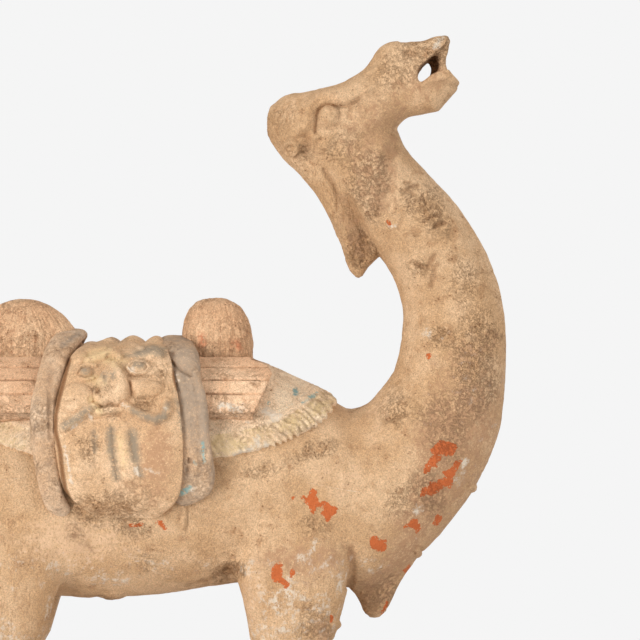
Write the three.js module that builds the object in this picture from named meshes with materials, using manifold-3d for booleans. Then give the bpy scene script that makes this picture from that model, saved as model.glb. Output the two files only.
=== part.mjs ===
// A standing two-humped camel of fired clay with its pack, one piece down to the plinth slab.
// Millimetres, +Z up. The camel faces +X and its right flank is on -Y. The origin is the centre
// of the underside.
import * as THREE from "three";
import { mergeVertices } from "three/addons/utils/BufferGeometryUtils.js";
import Module from "manifold-3d";

const wasm = await Module();
wasm.setup();

// Driving dimensions.
const LENGTH = 386; // along X, from the tail to the bend of the neck
const PLINTH = { rear: -LENGTH / 2, front: 92, halfWidth: 70, height: 10, corner: 8 };
const HEAD_YAW = THREE.MathUtils.degToRad(-6); // the head looks a little to its right
const HEAD_PIVOT_X = 82;
const FORELEG_Y = 34; // the legs' middle lines, left and right of the median plane
const HINDLEG_Y = 36;
const PACK_MIDDLE_X = -60; // the pack is alike before and behind this plane

// Sections run from an upper or rear point to a lower or front point in the XZ plane, with a half
// width along Y: [x, z, x, z, half width].
const TRUNK = [
  [-190, 285, -189, 262, 17],
  [-186, 312, -187, 232, 34],
  [-175, 328, -178, 209, 47],
  [-154, 339, -154, 198, 54],
  [-121, 345, -121, 196, 57],
  [-81, 347, -81, 195, 58],
  [-42, 348, -42, 196, 58],
  [-2, 350, -2, 202, 57],
  [31, 345, 32, 205, 56],
  [57, 334, 64, 202, 55],
  [77, 325, 90, 202, 53],
  [90, 318, 109, 204, 49],
];
const NECK = [
  [72, 324, 91, 200, 51],
  [87, 319, 110, 202, 50],
  [101, 322, 143, 229, 46],
  [111, 332, 168, 260, 41],
  [119, 343, 182.5, 287, 36],
  [123, 356, 190.5, 314, 33],
  [125, 371, 193.5, 348, 31],
  [125, 385, 193, 376, 30],
  [121, 400, 188.5, 401, 29.5],
  [114, 414, 178, 427, 29],
  [102, 432, 161, 453, 29],
  [89, 450, 142, 474, 28.5],
  [76, 468, 127.5, 490, 28],
  [61, 484, 121, 505, 26],
];
const HEAD = [
  [36, 514, 36, 499, 9],
  [39.5, 520, 45, 488, 19],
  [50, 527, 63, 478, 25],
  [65, 527, 87, 480, 28],
  [81, 531, 109, 491, 27],
  [92, 537, 121, 504, 24],
  [101, 543, 129, 511, 21],
  [107, 552, 139, 513, 19.5],
  [115, 558.5, 146, 514, 19],
  [126, 560.5, 149.5, 515, 18],
  [138, 561, 154, 521, 16.5],
  [148, 564, 159.5, 527, 14.5],
  [156, 565, 162.5, 532, 12],
];
const MANE = [
  [38, 495, 57, 504, 9],
  [47, 483, 68, 492, 13],
  [57, 473, 80, 479, 14],
  [68, 459, 90, 463, 13],
  [77, 444, 100, 447, 12],
  [84, 428, 107, 432, 11],
  [87, 416, 109, 420, 9],
  [91, 409, 103, 413, 6],
  [95, 405, 98, 406, 2],
];
const FORELEG = [
  [20, 262, 88, 262, 18],
  [15, 219, 90, 213, 23],
  [20, 196, 87, 195, 23],
  [23.5, 181, 83, 181, 22],
  [25, 171, 80, 171, 20],
  [27, 163, 74, 163, 17],
  [28, 143, 69, 143, 15],
  [28, 125, 67, 125, 14],
  [30, 114, 66, 113, 14],
  [34, 99, 61, 99, 12],
  [36, 74, 59, 74, 11],
  [36, 46, 58, 46, 11],
  [32, 31, 60, 30, 13],
  [28, 21, 69, 20, 18],
  [27, 5, 73, 5, 19],
];
const HINDLEG = [
  [-184, 279, -100, 262, 15],
  [-187, 226, -97, 216, 22],
  [-184, 196, -102, 195, 22],
  [-181, 170, -112, 166, 19],
  [-178, 143, -127, 140, 16],
  [-179, 120, -142, 116, 13],
  [-183, 104, -152, 99, 12],
  [-180, 89, -155, 86, 12],
  [-175, 67, -154, 66, 11],
  [-172, 44, -152, 44, 11],
  [-174, 29, -150, 29, 13],
  [-178, 20, -137, 20, 18],
  [-177, 5, -131, 5, 19],
];
const CHEST_TUFT = [
  [137, 224, 84, 222, 14],
  [125, 205, 88, 205, 12],
  [119, 193, 94, 195, 9],
  [114, 185, 99, 185, 6],
  [110, 181, 104, 180.5, 2],
];
const TAIL = [
  [-186, 314, -180, 318, 5],
  [-191, 300, -183, 300, 6],
  [-193, 275, -184, 275, 6],
  [-192, 250, -183, 250, 6],
  [-190, 225, -179, 225, 6.5],
  [-186, 206, -174, 208, 4.5],
];
const FRONT_HUMP = [
  [-16, 338, 28, 338, 25],
  [-19, 353, 26, 353, 23],
  [-19, 367, 28, 367, 22],
  [-18, 376, 26, 375, 20],
  [-15, 383, 22, 383, 17],
  [-10, 388, 14, 387, 11],
  [-5, 391.5, 4, 391, 4],
];
const REAR_HUMP = [
  [-170, 334, -80, 334, 26],
  [-167, 350, -84, 350, 24],
  [-160, 366, -89, 366, 21],
  [-152, 378, -99, 378, 17],
  [-142, 387, -110, 387, 11],
  [-132, 391.5, -118, 391.5, 5],
];

// Cloths that hang over the back, from the ridge down one flank: [y, z, rear x, front x].
const BAG = [
  [0, 363, -88, -30],
  [23, 362, -90, -29],
  [46, 357, -94, -27],
  [64, 342, -98, -23],
  [74, 320, -102, -19],
  [76, 292, -101, -17],
  [70, 264, -95, -20],
  [58, 250, -80, -32],
];
const FRONT_ROLL = [
  [0, 368.5, -30, -16],
  [22, 365, -29, -14],
  [43, 356, -27, -9],
  [59, 340, -25, -7],
  [66, 320, -19, -2],
  [67, 292, -18, 1],
  [63, 270, -17, 2],
  [55, 255, -15, -8],
];
const REAR_ROLL = [
  [0, 372, -102, -83],
  [22, 369, -106, -87],
  [43, 358, -113, -95],
  [59, 340, -119, -102],
  [66, 320, -123, -106],
  [67, 292, -122, -106],
  [63, 265, -116, -100],
  [55, 250, -106, -90],
];
const BAG_EDGE_DROP = 12; // how far the bag's rim curls in towards the flank
const BAG_DEPTH = 26;
const ROLL_HEIGHT = 7;
const LOBE = { start: -61, length: 16.5, height: 5 }; // scallops along the top of the pack

// Saddle boards: one row of slats along each side of the humps.
const SLAT_EDGES = [
  [24, 354],
  [38, 347],
  [50, 339],
  [57, 330],
  [61, 317],
];
const SLAT_GROOVE = { width: 1.6, depth: 2 };
const BOARD_DEPTH = 16;
// Front end of the boards in the side view, from the lower to the upper corner.
const BOARD_END = [
  [26, 311],
  [39.5, 343],
  [37, 347],
  [26, 352],
  [24, 358],
];

// Blanket and fringe: two ovals seen from the side, laid over the trunk.
const OVAL = { z: 345, squareness: 2.5 };
const BLANKET = { front: 132, rear: 100, drop: 47, thickness: 4.5 };
const FRINGE = { front: 146, rear: 113, drop: 62, thickness: 3.5, pleat: 5, ripple: 1.3 };

// The monster mask in relief on the bag, on the XZ plane: ridges, bosses and grooves.
const MASK_RIDGES = [
  { through: [[-59, 353], [-43, 357], [-30, 353]], radius: 5.5, height: 4 },
  { through: [[-99, 351], [-88, 352], [-75, 357]], radius: 5, height: 3 },
  { through: [[-59, 322], [-51, 316], [-40, 312], [-31, 316]], radius: 4.5, height: 3.5 },
  { through: [[-78, 320], [-93, 309]], radius: 5, height: 3.5 },
  { through: [[-65, 350], [-66, 340]], radius: 6, height: 4 },
  { through: [[-56, 300], [-54, 285], [-52, 272]], radius: 5, height: 2 },
];
const MASK_BOSSES = [
  { x: -48, z: 347, rx: 7.5, rz: 5, height: 4 },
  { x: -84, z: 343, rx: 6, rz: 5.5, height: 4 },
  { x: -44, z: 333, rx: 12, rz: 8, height: 5 },
  { x: -90, z: 326, rx: 12, rz: 10, height: 5 },
  { x: -67, z: 331, rx: 12, rz: 10, height: 8 },
  { x: -42, z: 322, rx: 5, rz: 4, height: -3 },
  { x: -67, z: 317, rx: 14, rz: 4, height: -2 },
];
const MASK_GROOVES = [
  { through: [[-78, 306], [-77, 284]], radius: 2.5, height: -1.5 },
  { through: [[-66, 304], [-63, 288], [-60, 270]], radius: 3, height: -2.2 },
  { through: [[-53, 304], [-50, 288], [-47, 270]], radius: 4, height: -2.6 },
];

// Small forms on the head, on the XZ plane of the unturned head.
const BROW_RIDGE = [
  [51, 492],
  [58, 500],
  [63, 507],
  [66, 518],
  [74, 523],
  [85, 521],
  [95, 526],
];
const BROW_RADIUS = 3;
const EYE = { x: 75, z: 512, radius: 6, bulge: 3.5 };
const EAR = { x: 51, z: 490, radius: 6.5, bulge: 5 };
const NOSTRIL = { x: 130, z: 556, length: 6, radius: 1.6 };
const MOUTH = {
  corner: [134.5, 533.5],
  upper: [[140.5, 547], [148, 555.5], [156, 564], [164, 573]],
  lower: [[172, 548], [163, 535], [150, 538.5]],
};
const TONGUE = { from: 142.5, to: 153, bottom: 536, top: 556, halfWidth: 4 };

const CLAY = new THREE.MeshStandardMaterial({ color: 0xcdab82, roughness: 0.93, metalness: 0 });

// The value of a table of rows at the parameter t in 0..1, by a Catmull-Rom curve in every column.
function rowAt(rows, t) {
  const place = Math.min(Math.max(t, 0), 1) * (rows.length - 1);
  const i = Math.min(Math.floor(place), rows.length - 2);
  const u = place - i;
  const pick = (k) => rows[Math.min(Math.max(k, 0), rows.length - 1)];
  return rows[i].map((_, column) => {
    const [p0, p1, p2, p3] = [i - 1, i, i + 1, i + 2].map((k) => pick(k)[column]);
    const slope = p2 - p0;
    const bend = 2 * p0 - 5 * p1 + 4 * p2 - p3;
    const twist = 3 * p1 - p0 - 3 * p2 + p3;
    return 0.5 * (2 * p1 + slope * u + bend * u * u + twist * u * u * u);
  });
}

// One coordinate of a superellipse: the signed power of a cosine or a sine.
function rounded(value, squareness) {
  return Math.sign(value) * Math.abs(value) ** (2 / squareness);
}

// A manifold from flat vertex and triangle arrays, turned the right way out.
function manifoldOf(points, triangles) {
  const at = (i) => new THREE.Vector3(points[3 * i], points[3 * i + 1], points[3 * i + 2]);
  let volume = 0;
  for (let i = 0; i < triangles.length; i += 3) {
    const [a, b, c] = [0, 1, 2].map((k) => at(triangles[i + k]));
    volume += a.dot(b.cross(c));
  }
  const facing = volume > 0 ? triangles : [...triangles].reverse();
  return new wasm.Manifold(
    new wasm.Mesh({
      numProp: 3,
      vertProperties: new Float32Array(points),
      triVerts: new Uint32Array(facing),
    }),
  );
}

// A manifold from a three.js geometry.
function solid(geometry) {
  const bare = geometry.clone();
  bare.deleteAttribute("normal");
  bare.deleteAttribute("uv");
  const merged = mergeVertices(bare, 1e-4);
  return manifoldOf([...merged.attributes.position.array], [...merged.index.array]);
}

// A closed skin over a row of rings, all with the same number of points, fanned shut at both ends.
function skin(rings) {
  const count = rings[0].length;
  const points = rings.flat(2);
  const triangles = [];
  for (let r = 0; r + 1 < rings.length; r += 1) {
    for (let k = 0; k < count; k += 1) {
      const a = r * count + k;
      const b = r * count + ((k + 1) % count);
      triangles.push(a, b, b + count, a, b + count, a + count);
    }
  }
  const ends = [
    [rings[0], 0, true],
    [rings.at(-1), (rings.length - 1) * count, false],
  ];
  for (const [ring, first, start] of ends) {
    const middle = points.length / 3;
    for (const axis of [0, 1, 2]) {
      points.push(ring.reduce((sum, p) => sum + p[axis], 0) / count);
    }
    for (let k = 0; k < count; k += 1) {
      const a = first + k;
      const b = first + ((k + 1) % count);
      triangles.push(...(start ? [b, a, middle] : [a, b, middle]));
    }
  }
  return manifoldOf(points, triangles);
}

// A body over section rows. Options: sides and steps of the skin, squareness of the sections and
// the y of their middle line, and grow, which thickens every section by that much.
function loft(rows, { sides, steps, squareness = 2, y = 0, grow = 0 }) {
  const rings = Array.from({ length: steps + 1 }, (_, step) => {
    const [ax, az, bx, bz, half] = rowAt(rows, step / steps);
    const across = new THREE.Vector2(ax - bx, az - bz);
    const reach = across.length() / 2 + grow;
    across.normalize().multiplyScalar(reach);
    return Array.from({ length: sides }, (_, k) => {
      const angle = (2 * Math.PI * k) / sides;
      const along = rounded(Math.cos(angle), squareness);
      const wide = rounded(Math.sin(angle), squareness);
      const x = (ax + bx) / 2 + across.x * along;
      const z = (az + bz) / 2 + across.y * along;
      return [x, y + (half + grow) * wide, z];
    });
  });
  return skin(rings);
}

// The half width of a loft where the point x, z of its side view lies.
function sideAt(rows, x, z, squareness = 2) {
  const steps = 200;
  let best = { distance: Infinity, width: 0 };
  for (let step = 0; step <= steps; step += 1) {
    const [ax, az, bx, bz, half] = rowAt(rows, step / steps);
    const middle = new THREE.Vector2((ax + bx) / 2, (az + bz) / 2);
    const across = new THREE.Vector2(ax, az).sub(middle);
    const offset = new THREE.Vector2(x, z).sub(middle);
    const along = offset.dot(across) / across.lengthSq();
    const distance = offset.addScaledVector(across, -along).length();
    const inside = Math.max(0, 1 - Math.abs(along) ** squareness);
    if (distance < best.distance) best = { distance, width: half * inside ** (1 / squareness) };
  }
  return best.width;
}

// A prism through Y of an outline in the side view.
function sidePrism(outline, halfWidth) {
  const shape = new THREE.Shape(outline.map(([x, z]) => new THREE.Vector2(x, z)));
  const geometry = new THREE.ExtrudeGeometry(shape, { depth: 2 * halfWidth, bevelEnabled: false });
  geometry.rotateX(Math.PI / 2);
  geometry.translate(0, halfWidth, 0);
  return solid(geometry);
}

// A ball stretched along the three axes.
function boss(x, y, z, [rx, ry, rz], segments = 8) {
  const geometry = new THREE.SphereGeometry(1, segments, Math.round(segments * 0.6));
  geometry.scale(rx, ry, rz);
  geometry.translate(x, y, z);
  return solid(geometry);
}

// A round cord of a radius through points in space, tapered to its two ends.
function cord(points, radius, sides = 5) {
  const curve = new THREE.CatmullRomCurve3(points.map((p) => new THREE.Vector3(...p)));
  const steps = points.length + 3;
  const frames = curve.computeFrenetFrames(steps);
  const rings = Array.from({ length: steps + 1 }, (_, step) => {
    const t = step / steps;
    const reach = radius * Math.max(0.25, Math.sin(Math.PI * t) ** 0.35);
    const centre = curve.getPointAt(t);
    return Array.from({ length: sides }, (_, k) => {
      const angle = (2 * Math.PI * k) / sides;
      const point = centre.clone();
      point.addScaledVector(frames.normals[step], reach * Math.cos(angle));
      point.addScaledVector(frames.binormals[step], reach * Math.sin(angle));
      return point.toArray();
    });
  });
  return skin(rings);
}

// How near the point is to a line through points, 1 on it and 0 beyond the radius.
function nearLine(x, z, through, radius) {
  let nearest = Infinity;
  for (let i = 0; i + 1 < through.length; i += 1) {
    const start = new THREE.Vector3(through[i][0], through[i][1], 0);
    const end = new THREE.Vector3(through[i + 1][0], through[i + 1][1], 0);
    const here = new THREE.Vector3(x, z, 0);
    const foot = new THREE.Line3(start, end).closestPointToPoint(here, true, new THREE.Vector3());
    nearest = Math.min(nearest, foot.distanceTo(here));
  }
  return Math.cos((Math.PI / 2) * Math.min(1, nearest / radius)) ** 2;
}

// Height of the mask above the plain bag at a point of the side view.
function maskRelief(x, z) {
  let height = 0;
  for (const line of [...MASK_RIDGES, ...MASK_GROOVES]) {
    height += line.height * nearLine(x, z, line.through, line.radius);
  }
  for (const { x: bx, z: bz, rx, rz, height: rise } of MASK_BOSSES) {
    const out = Math.min(1, Math.hypot((x - bx) / rx, (z - bz) / rz));
    height += rise * (1 - out * out);
  }
  return height;
}

// A cloth over the back from one flank to the other, as a list of frames along it: the point on
// its outer face, the outward normal and the two ends along X.
function drape(rows, steps) {
  const both = Array.from({ length: 2 * steps + 1 }, (_, i) => i - steps);
  const at = (i) => {
    const [y, z, rear, front] = rowAt(rows, Math.abs(i) / steps);
    return { y: Math.sign(i) * y, z, rear, front };
  };
  return both.map((i) => {
    const here = at(i);
    const before = at(Math.max(i - 0.5, -steps));
    const after = at(Math.min(i + 0.5, steps));
    const normal = new THREE.Vector2(before.z - after.z, after.y - before.y).normalize();
    return { ...here, normal };
  });
}

// Height of the scallops on the ridge of the pack, lower in the rear half.
function lobeHeight(x) {
  const full = THREE.MathUtils.smoothstep(x, LOBE.start - LOBE.length, LOBE.start);
  const wave = Math.abs(Math.sin((Math.PI * (x - LOBE.start)) / LOBE.length));
  return LOBE.height * (0.3 + 0.7 * full) * wave;
}

// The bag: an outer face with the mask on both flanks, and a plain inner face buried in the body.
function bag() {
  const columns = 19;
  const rings = drape(BAG, 15).map(({ y, z, rear, front, normal }) => {
    const middle = (rear + front) / 2;
    const half = (front - rear) / 2;
    const flank = THREE.MathUtils.smoothstep(Math.abs(y), 12, 30);
    const outer = Array.from({ length: columns }, (_, k) => {
      const u = (2 * k) / (columns - 1) - 1;
      const x = middle + half * Math.sin((Math.PI / 2) * u * 0.98);
      const lobes = lobeHeight(x);
      const rise = flank * maskRelief(x, z) + (1 - flank) * lobes;
      const out = rise * (1 - u ** 6) - BAG_EDGE_DROP * Math.abs(u) ** 7;
      return [x, y + normal.x * out, z + normal.y * out];
    });
    const inner = [0.9, 0.3, -0.3, -0.9].map((u) => {
      const x = middle + half * u;
      return [x, y - normal.x * BAG_DEPTH, z - normal.y * BAG_DEPTH];
    });
    return [...outer, ...inner];
  });
  return skin(rings);
}

// A roll of cloth that hangs over the back beside the bag.
function roll(rows) {
  const sides = 8;
  const rings = drape(rows, 7).map(({ y, z, rear, front, normal }) => {
    const middle = (rear + front) / 2;
    return Array.from({ length: sides }, (_, k) => {
      const angle = (2 * Math.PI * k) / sides;
      const x = middle + ((front - rear) / 2) * rounded(Math.cos(angle), 2.6);
      const out = ROLL_HEIGHT * (rounded(Math.sin(angle), 2.6) - 1);
      return [x, y + normal.x * out, z + normal.y * out];
    });
  });
  return skin(rings);
}

// Outline of a slatted board in the YZ plane, with a groove between every two slats.
function boardProfile(side) {
  const outer = [];
  SLAT_EDGES.forEach(([y, z], i) => {
    const next = SLAT_EDGES[Math.min(i + 1, SLAT_EDGES.length - 1)];
    const last = SLAT_EDGES[Math.max(i - 1, 0)];
    const along = new THREE.Vector2(next[0] - last[0], next[1] - last[1]).normalize();
    const inward = new THREE.Vector2(along.y, -along.x);
    const ends = i === 0 || i === SLAT_EDGES.length - 1;
    const cuts = ends ? [[0, 0]] : [[-1, 0], [0, 1], [1, 0]];
    for (const [step, down] of cuts) {
      const point = new THREE.Vector2(y, z).addScaledVector(along, step * SLAT_GROOVE.width);
      point.addScaledVector(inward, down * SLAT_GROOVE.depth);
      outer.push(point);
    }
  });
  const inner = [...outer].filter((_, i) => i % 3 === 0).reverse();
  const back = inner.map((p) => new THREE.Vector2(p.x - BOARD_DEPTH, p.y - BOARD_DEPTH / 2));
  return new THREE.Shape([...outer, ...back].map((p) => new THREE.Vector2(side * p.x, p.y)));
}

// The boards on one flank, cut to their slanted ends in front and behind.
function boards(side) {
  const length = 210;
  const bar = new THREE.ExtrudeGeometry(boardProfile(side), { depth: length, bevelEnabled: false });
  bar.rotateX(Math.PI / 2);
  bar.rotateZ(Math.PI / 2);
  bar.translate(PACK_MIDDLE_X - length / 2, 0, 0);
  const rearEnd = BOARD_END.map(([x, z]) => [2 * PACK_MIDDLE_X - x, z]).reverse();
  return solid(bar).intersect(sidePrism([...BOARD_END, ...rearEnd], 90));
}

// An oval of the side view, longer before the pack than behind it, with an optional rippled edge.
function oval({ front, rear, drop, pleat = 0, ripple = 0 }) {
  const around = pleat ? Math.round((2 * Math.PI * front * 0.62) / pleat) : 40;
  return Array.from({ length: around }, (_, k) => {
    const angle = (2 * Math.PI * k) / around;
    const reach = k % 2 ? ripple : -ripple;
    const along = rounded(Math.cos(angle), OVAL.squareness);
    const length = (along > 0 ? front : rear) + reach;
    const down = rounded(Math.sin(angle), OVAL.squareness) * (drop + reach);
    return [PACK_MIDDLE_X + length * along, OVAL.z + down];
  });
}

// The trunk, or the trunk made thicker by grow all round.
function trunk(grow = 0) {
  return loft(TRUNK, { sides: 20, steps: 15, grow });
}

// A cloth laid over the trunk: the trunk made thicker, inside an oval.
function cloth(size) {
  return trunk(size.thickness).intersect(sidePrism(oval(size), 90));
}

// A pair of alike legs.
function legs(rows, middle) {
  const leg = (y) => loft(rows, { sides: 10, steps: 15, squareness: 2.3, y });
  return leg(-middle).add(leg(middle));
}

// The slab under the feet.
function plinth() {
  const { rear, front, halfWidth, height, corner } = PLINTH;
  const shape = new THREE.Shape();
  shape.moveTo(rear + corner, -halfWidth);
  shape.lineTo(front - corner, -halfWidth);
  shape.absarc(front - corner, corner - halfWidth, corner, -Math.PI / 2, 0);
  shape.lineTo(front, halfWidth - corner);
  shape.absarc(front - corner, halfWidth - corner, corner, 0, Math.PI / 2);
  shape.lineTo(rear + corner, halfWidth);
  shape.absarc(rear + corner, halfWidth - corner, corner, Math.PI / 2, Math.PI);
  shape.lineTo(rear, corner - halfWidth);
  shape.absarc(rear + corner, corner - halfWidth, corner, Math.PI, 1.5 * Math.PI);
  const slab = new THREE.ExtrudeGeometry(shape, {
    depth: height,
    bevelEnabled: false,
    curveSegments: 3,
  });
  return solid(slab);
}

// Brow ridge, eye and ear on one cheek.
function face(side) {
  const on = (x, z, out) => side * (sideAt(HEAD, x, z) + out);
  const ridge = BROW_RIDGE.map(([x, z]) => [x, on(x, z, -0.5), z]);
  const eye = boss(EYE.x, on(EYE.x, EYE.z, 0), EYE.z, [EYE.radius, EYE.bulge, EYE.radius * 0.8]);
  const ear = boss(EAR.x, on(EAR.x, EAR.z, 0), EAR.z, [EAR.radius, EAR.bulge, EAR.radius]);
  return cord(ridge, BROW_RADIUS).add(eye).add(ear);
}

// The open mouth: a wedge cut through both cheeks, with a web of clay left for the tongue.
function mouthCut() {
  const wedge = sidePrism([MOUTH.corner, ...MOUTH.upper, ...MOUTH.lower], 40);
  const { from, to, bottom, top, halfWidth } = TONGUE;
  const web = sidePrism([[from, bottom], [to, bottom], [to + 1, top], [from + 3, top]], halfWidth);
  return wedge.subtract(web);
}

// A nostril slit on one side of the muzzle.
function nostril(side) {
  const { x, z, length, radius } = NOSTRIL;
  const y = side * sideAt(HEAD, x, z);
  return boss(x, y, z, [length, radius * 1.5, radius], 8);
}

// The head with its face, mouth and nostrils, turned a little to the camel's right.
function head() {
  let form = loft(HEAD, { sides: 16, steps: 14, squareness: 2.2 });
  for (const side of [-1, 1]) form = form.add(face(side)).subtract(nostril(side));
  form = form.subtract(mouthCut());
  const mesh = form.getMesh();
  const turn = new THREE.Matrix4().makeTranslation(HEAD_PIVOT_X, 0, 0);
  turn.multiply(new THREE.Matrix4().makeRotationZ(HEAD_YAW));
  turn.multiply(new THREE.Matrix4().makeTranslation(-HEAD_PIVOT_X, 0, 0));
  const position = new THREE.BufferAttribute(Float32Array.from(mesh.vertProperties), 3);
  position.applyMatrix4(turn);
  return manifoldOf([...position.array], [...mesh.triVerts]);
}

// The whole camel as one body: the outer shell of all its forms, without the gaps shut in between.
function camel() {
  const parts = [
    loft(NECK, { sides: 16, steps: 17 }),
    head(),
    loft(MANE, { sides: 10, steps: 12, squareness: 2.6 }),
    loft(CHEST_TUFT, { sides: 10, steps: 6 }),
    loft(TAIL, { sides: 6, steps: 8 }),
    loft(FRONT_HUMP, { sides: 14, steps: 9 }),
    loft(REAR_HUMP, { sides: 14, steps: 7 }),
    legs(FORELEG, FORELEG_Y),
    legs(HINDLEG, HINDLEG_Y),
    cloth(FRINGE),
    cloth(BLANKET),
    boards(-1),
    boards(1),
    roll(FRONT_ROLL),
    roll(REAR_ROLL),
    bag(),
    plinth(),
  ];
  const shells = parts.reduce((whole, part) => whole.add(part), trunk()).decompose();
  return shells.reduce((outer, shell) => (shell.volume() > outer.volume() ? shell : outer));
}

const { vertProperties, triVerts } = camel().getMesh();
const geometry = new THREE.BufferGeometry();
geometry.setAttribute("position", new THREE.BufferAttribute(vertProperties, 3));
geometry.setIndex(new THREE.BufferAttribute(triVerts, 1));
geometry.computeVertexNormals();

const figure = new THREE.Group();
const body = new THREE.Mesh(geometry, CLAY);
body.name = "pottery_camel";
figure.add(body);

export default figure;
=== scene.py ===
"""A standing two-humped camel of painted pottery with its pack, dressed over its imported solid.

Sizes are in millimetres until a mesh is made. The camel faces +X and its right flank is on -Y.
"""

import logging
from dataclasses import dataclass, field
from enum import Enum
from itertools import product
from math import cos, pi, radians, sin
from typing import Any, Iterator, Sequence

import bpy
import numpy as np
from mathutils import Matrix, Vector


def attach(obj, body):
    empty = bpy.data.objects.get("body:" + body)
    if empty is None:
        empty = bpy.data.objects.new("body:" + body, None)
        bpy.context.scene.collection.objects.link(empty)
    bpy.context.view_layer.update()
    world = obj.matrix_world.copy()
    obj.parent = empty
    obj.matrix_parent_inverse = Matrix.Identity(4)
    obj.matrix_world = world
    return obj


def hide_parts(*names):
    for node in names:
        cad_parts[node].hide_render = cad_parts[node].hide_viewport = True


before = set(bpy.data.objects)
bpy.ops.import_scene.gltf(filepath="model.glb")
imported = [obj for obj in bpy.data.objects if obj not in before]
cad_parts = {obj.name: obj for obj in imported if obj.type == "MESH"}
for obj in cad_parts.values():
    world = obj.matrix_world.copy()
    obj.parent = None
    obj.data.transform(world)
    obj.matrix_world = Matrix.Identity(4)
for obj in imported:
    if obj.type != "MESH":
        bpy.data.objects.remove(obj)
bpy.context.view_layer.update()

Array = np.ndarray
Item = bpy.types.Object
Material = bpy.types.Material
Socket = bpy.types.NodeSocket
Tree = bpy.types.NodeTree
Rows = Sequence[Sequence[float]]
Line = Sequence[float] | Array  # points of the side view as x, z, x, z
Triple = tuple[float, float, float]
Colour = tuple[float, float, float, float]
Oval = tuple[float, float, float, float]  # front, rear and downward reach, and thickness

log = logging.getLogger("pottery_camel")

MM = 0.001
VIEW_X = 70.6  # the middle of the picture, on the plane through the camel's middle
VIEW_Z = 377.5
CAMERA_OFF = 2400  # how far the camera stands before that plane
MOST_FACES = 196000  # what is left of a carved piece when it is thinned
WEIGHT_STEPS = 10  # how finely the weights for that thinning are told apart
FAR_OFF = 1e9

# Sections run from an upper or rear point to a lower or front point in the XZ plane, with a half
# width along Y: x, z, x, z, half width.
TRUNK = [
    [-190, 285, -189, 262, 17], [-186, 312, -187, 232, 34], [-175, 328, -178, 209, 47],
    [-154, 339, -154, 198, 54], [-121, 345, -121, 196, 57], [-81, 347, -81, 195, 58],
    [-42, 348, -42, 196, 58], [-2, 350, -2, 202, 57], [31, 345, 32, 205, 56], [57, 334, 64, 202, 55],
    [77, 325, 90, 202, 53], [90, 318, 109, 204, 49],
]
NECK = [
    [72, 324, 91, 200, 51], [87, 319, 110, 202, 50], [101, 322, 143, 229, 46], [111, 332, 168, 260, 41],
    [119, 343, 182.5, 287, 36], [123, 356, 190.5, 314, 33], [125, 371, 193.5, 348, 31],
    [125, 385, 193, 376, 30], [121, 400, 188.5, 401, 29.5], [114, 414, 178, 427, 29],
    [102, 432, 161, 453, 29], [89, 450, 142, 474, 28.5], [76, 468, 127.5, 490, 28],
    [61, 484, 121, 505, 26],
]
HEAD = [
    [36, 514, 36, 499, 9], [39.5, 520, 45, 488, 19], [50, 527, 63, 478, 25], [65, 527, 87, 480, 28],
    [81, 531, 109, 491, 27], [92, 537, 121, 504, 24], [101, 543, 129, 511, 21],
    [107, 552, 139, 513, 19.5], [115, 558.5, 146, 514, 19], [126, 560.5, 149.5, 515, 18],
    [138, 561, 154, 521, 16.5], [148, 564, 159.5, 527, 14.5], [156, 565, 162.5, 532, 12],
]
MANE = [
    [38, 495, 57, 504, 9], [47, 483, 68, 492, 13], [57, 473, 80, 479, 14], [68, 459, 90, 463, 13],
    [77, 444, 100, 447, 12], [84, 428, 107, 432, 11], [87, 416, 109, 420, 9], [91, 409, 103, 413, 6],
    [95, 405, 98, 406, 2],
]
FORELEG = [
    [20, 262, 88, 262, 18], [15, 219, 90, 213, 23], [20, 196, 87, 195, 23], [23.5, 181, 83, 181, 22],
    [25, 171, 80, 171, 20], [27, 163, 74, 163, 17], [28, 143, 69, 143, 15], [28, 125, 67, 125, 14],
    [30, 114, 66, 113, 14], [34, 99, 61, 99, 12], [36, 74, 59, 74, 11], [36, 46, 58, 46, 11],
    [32, 31, 60, 30, 13], [28, 21, 69, 20, 18], [27, 5, 73, 5, 19],
]
HINDLEG = [
    [-184, 279, -100, 262, 15], [-187, 226, -97, 216, 22], [-184, 196, -102, 195, 22],
    [-181, 170, -112, 166, 19], [-178, 143, -127, 140, 16], [-179, 120, -142, 116, 13],
    [-183, 104, -152, 99, 12], [-180, 89, -155, 86, 12], [-175, 67, -154, 66, 11],
    [-172, 44, -152, 44, 11], [-174, 29, -150, 29, 13], [-178, 20, -137, 20, 18], [-177, 5, -131, 5, 19],
]
CHEST_TUFT = [
    [137, 224, 84, 222, 14], [125, 205, 88, 205, 12], [119, 193, 94, 195, 9], [114, 185, 99, 185, 6],
    [110, 181, 104, 180.5, 2],
]
TAIL = [
    [-186, 314, -180, 318, 5], [-191, 300, -183, 300, 6], [-193, 275, -184, 275, 6],
    [-192, 250, -183, 250, 6], [-190, 225, -179, 225, 6.5], [-186, 206, -174, 208, 4.5],
]
# Cloths that hang over the back, from the ridge down one flank: y, z, rear x, front x.
BAG = [
    [0, 363, -88, -30], [23, 362, -90, -29], [46, 357, -94, -27], [64, 342, -98, -23],
    [74, 320, -102, -19], [76, 292, -101, -17], [70, 264, -95, -20], [58, 250, -80, -32],
]
FRONT_ROLL = [
    [0, 367.5, -35, -14], [22, 364.5, -32.5, -11.5], [43, 357, -28, -7.5], [61, 341, -26, -5.5],
    [68.5, 320, -24.5, -1.6], [70.5, 302, -23.2, -0.2], [70, 289, -22.8, 2], [67.5, 277, -23.5, 3],
    [63.5, 266, -25, 0.5], [59, 258, -24, -9],
]
REAR_ROLL = [
    [0, 372, -102, -83], [22, 369, -104.5, -85.5], [43, 358, -109, -91], [60, 340, -112.5, -95.5],
    [68, 320, -115.5, -99], [69, 292, -114, -97.5], [65, 265, -109, -94], [58, 251, -104, -88],
]

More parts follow.
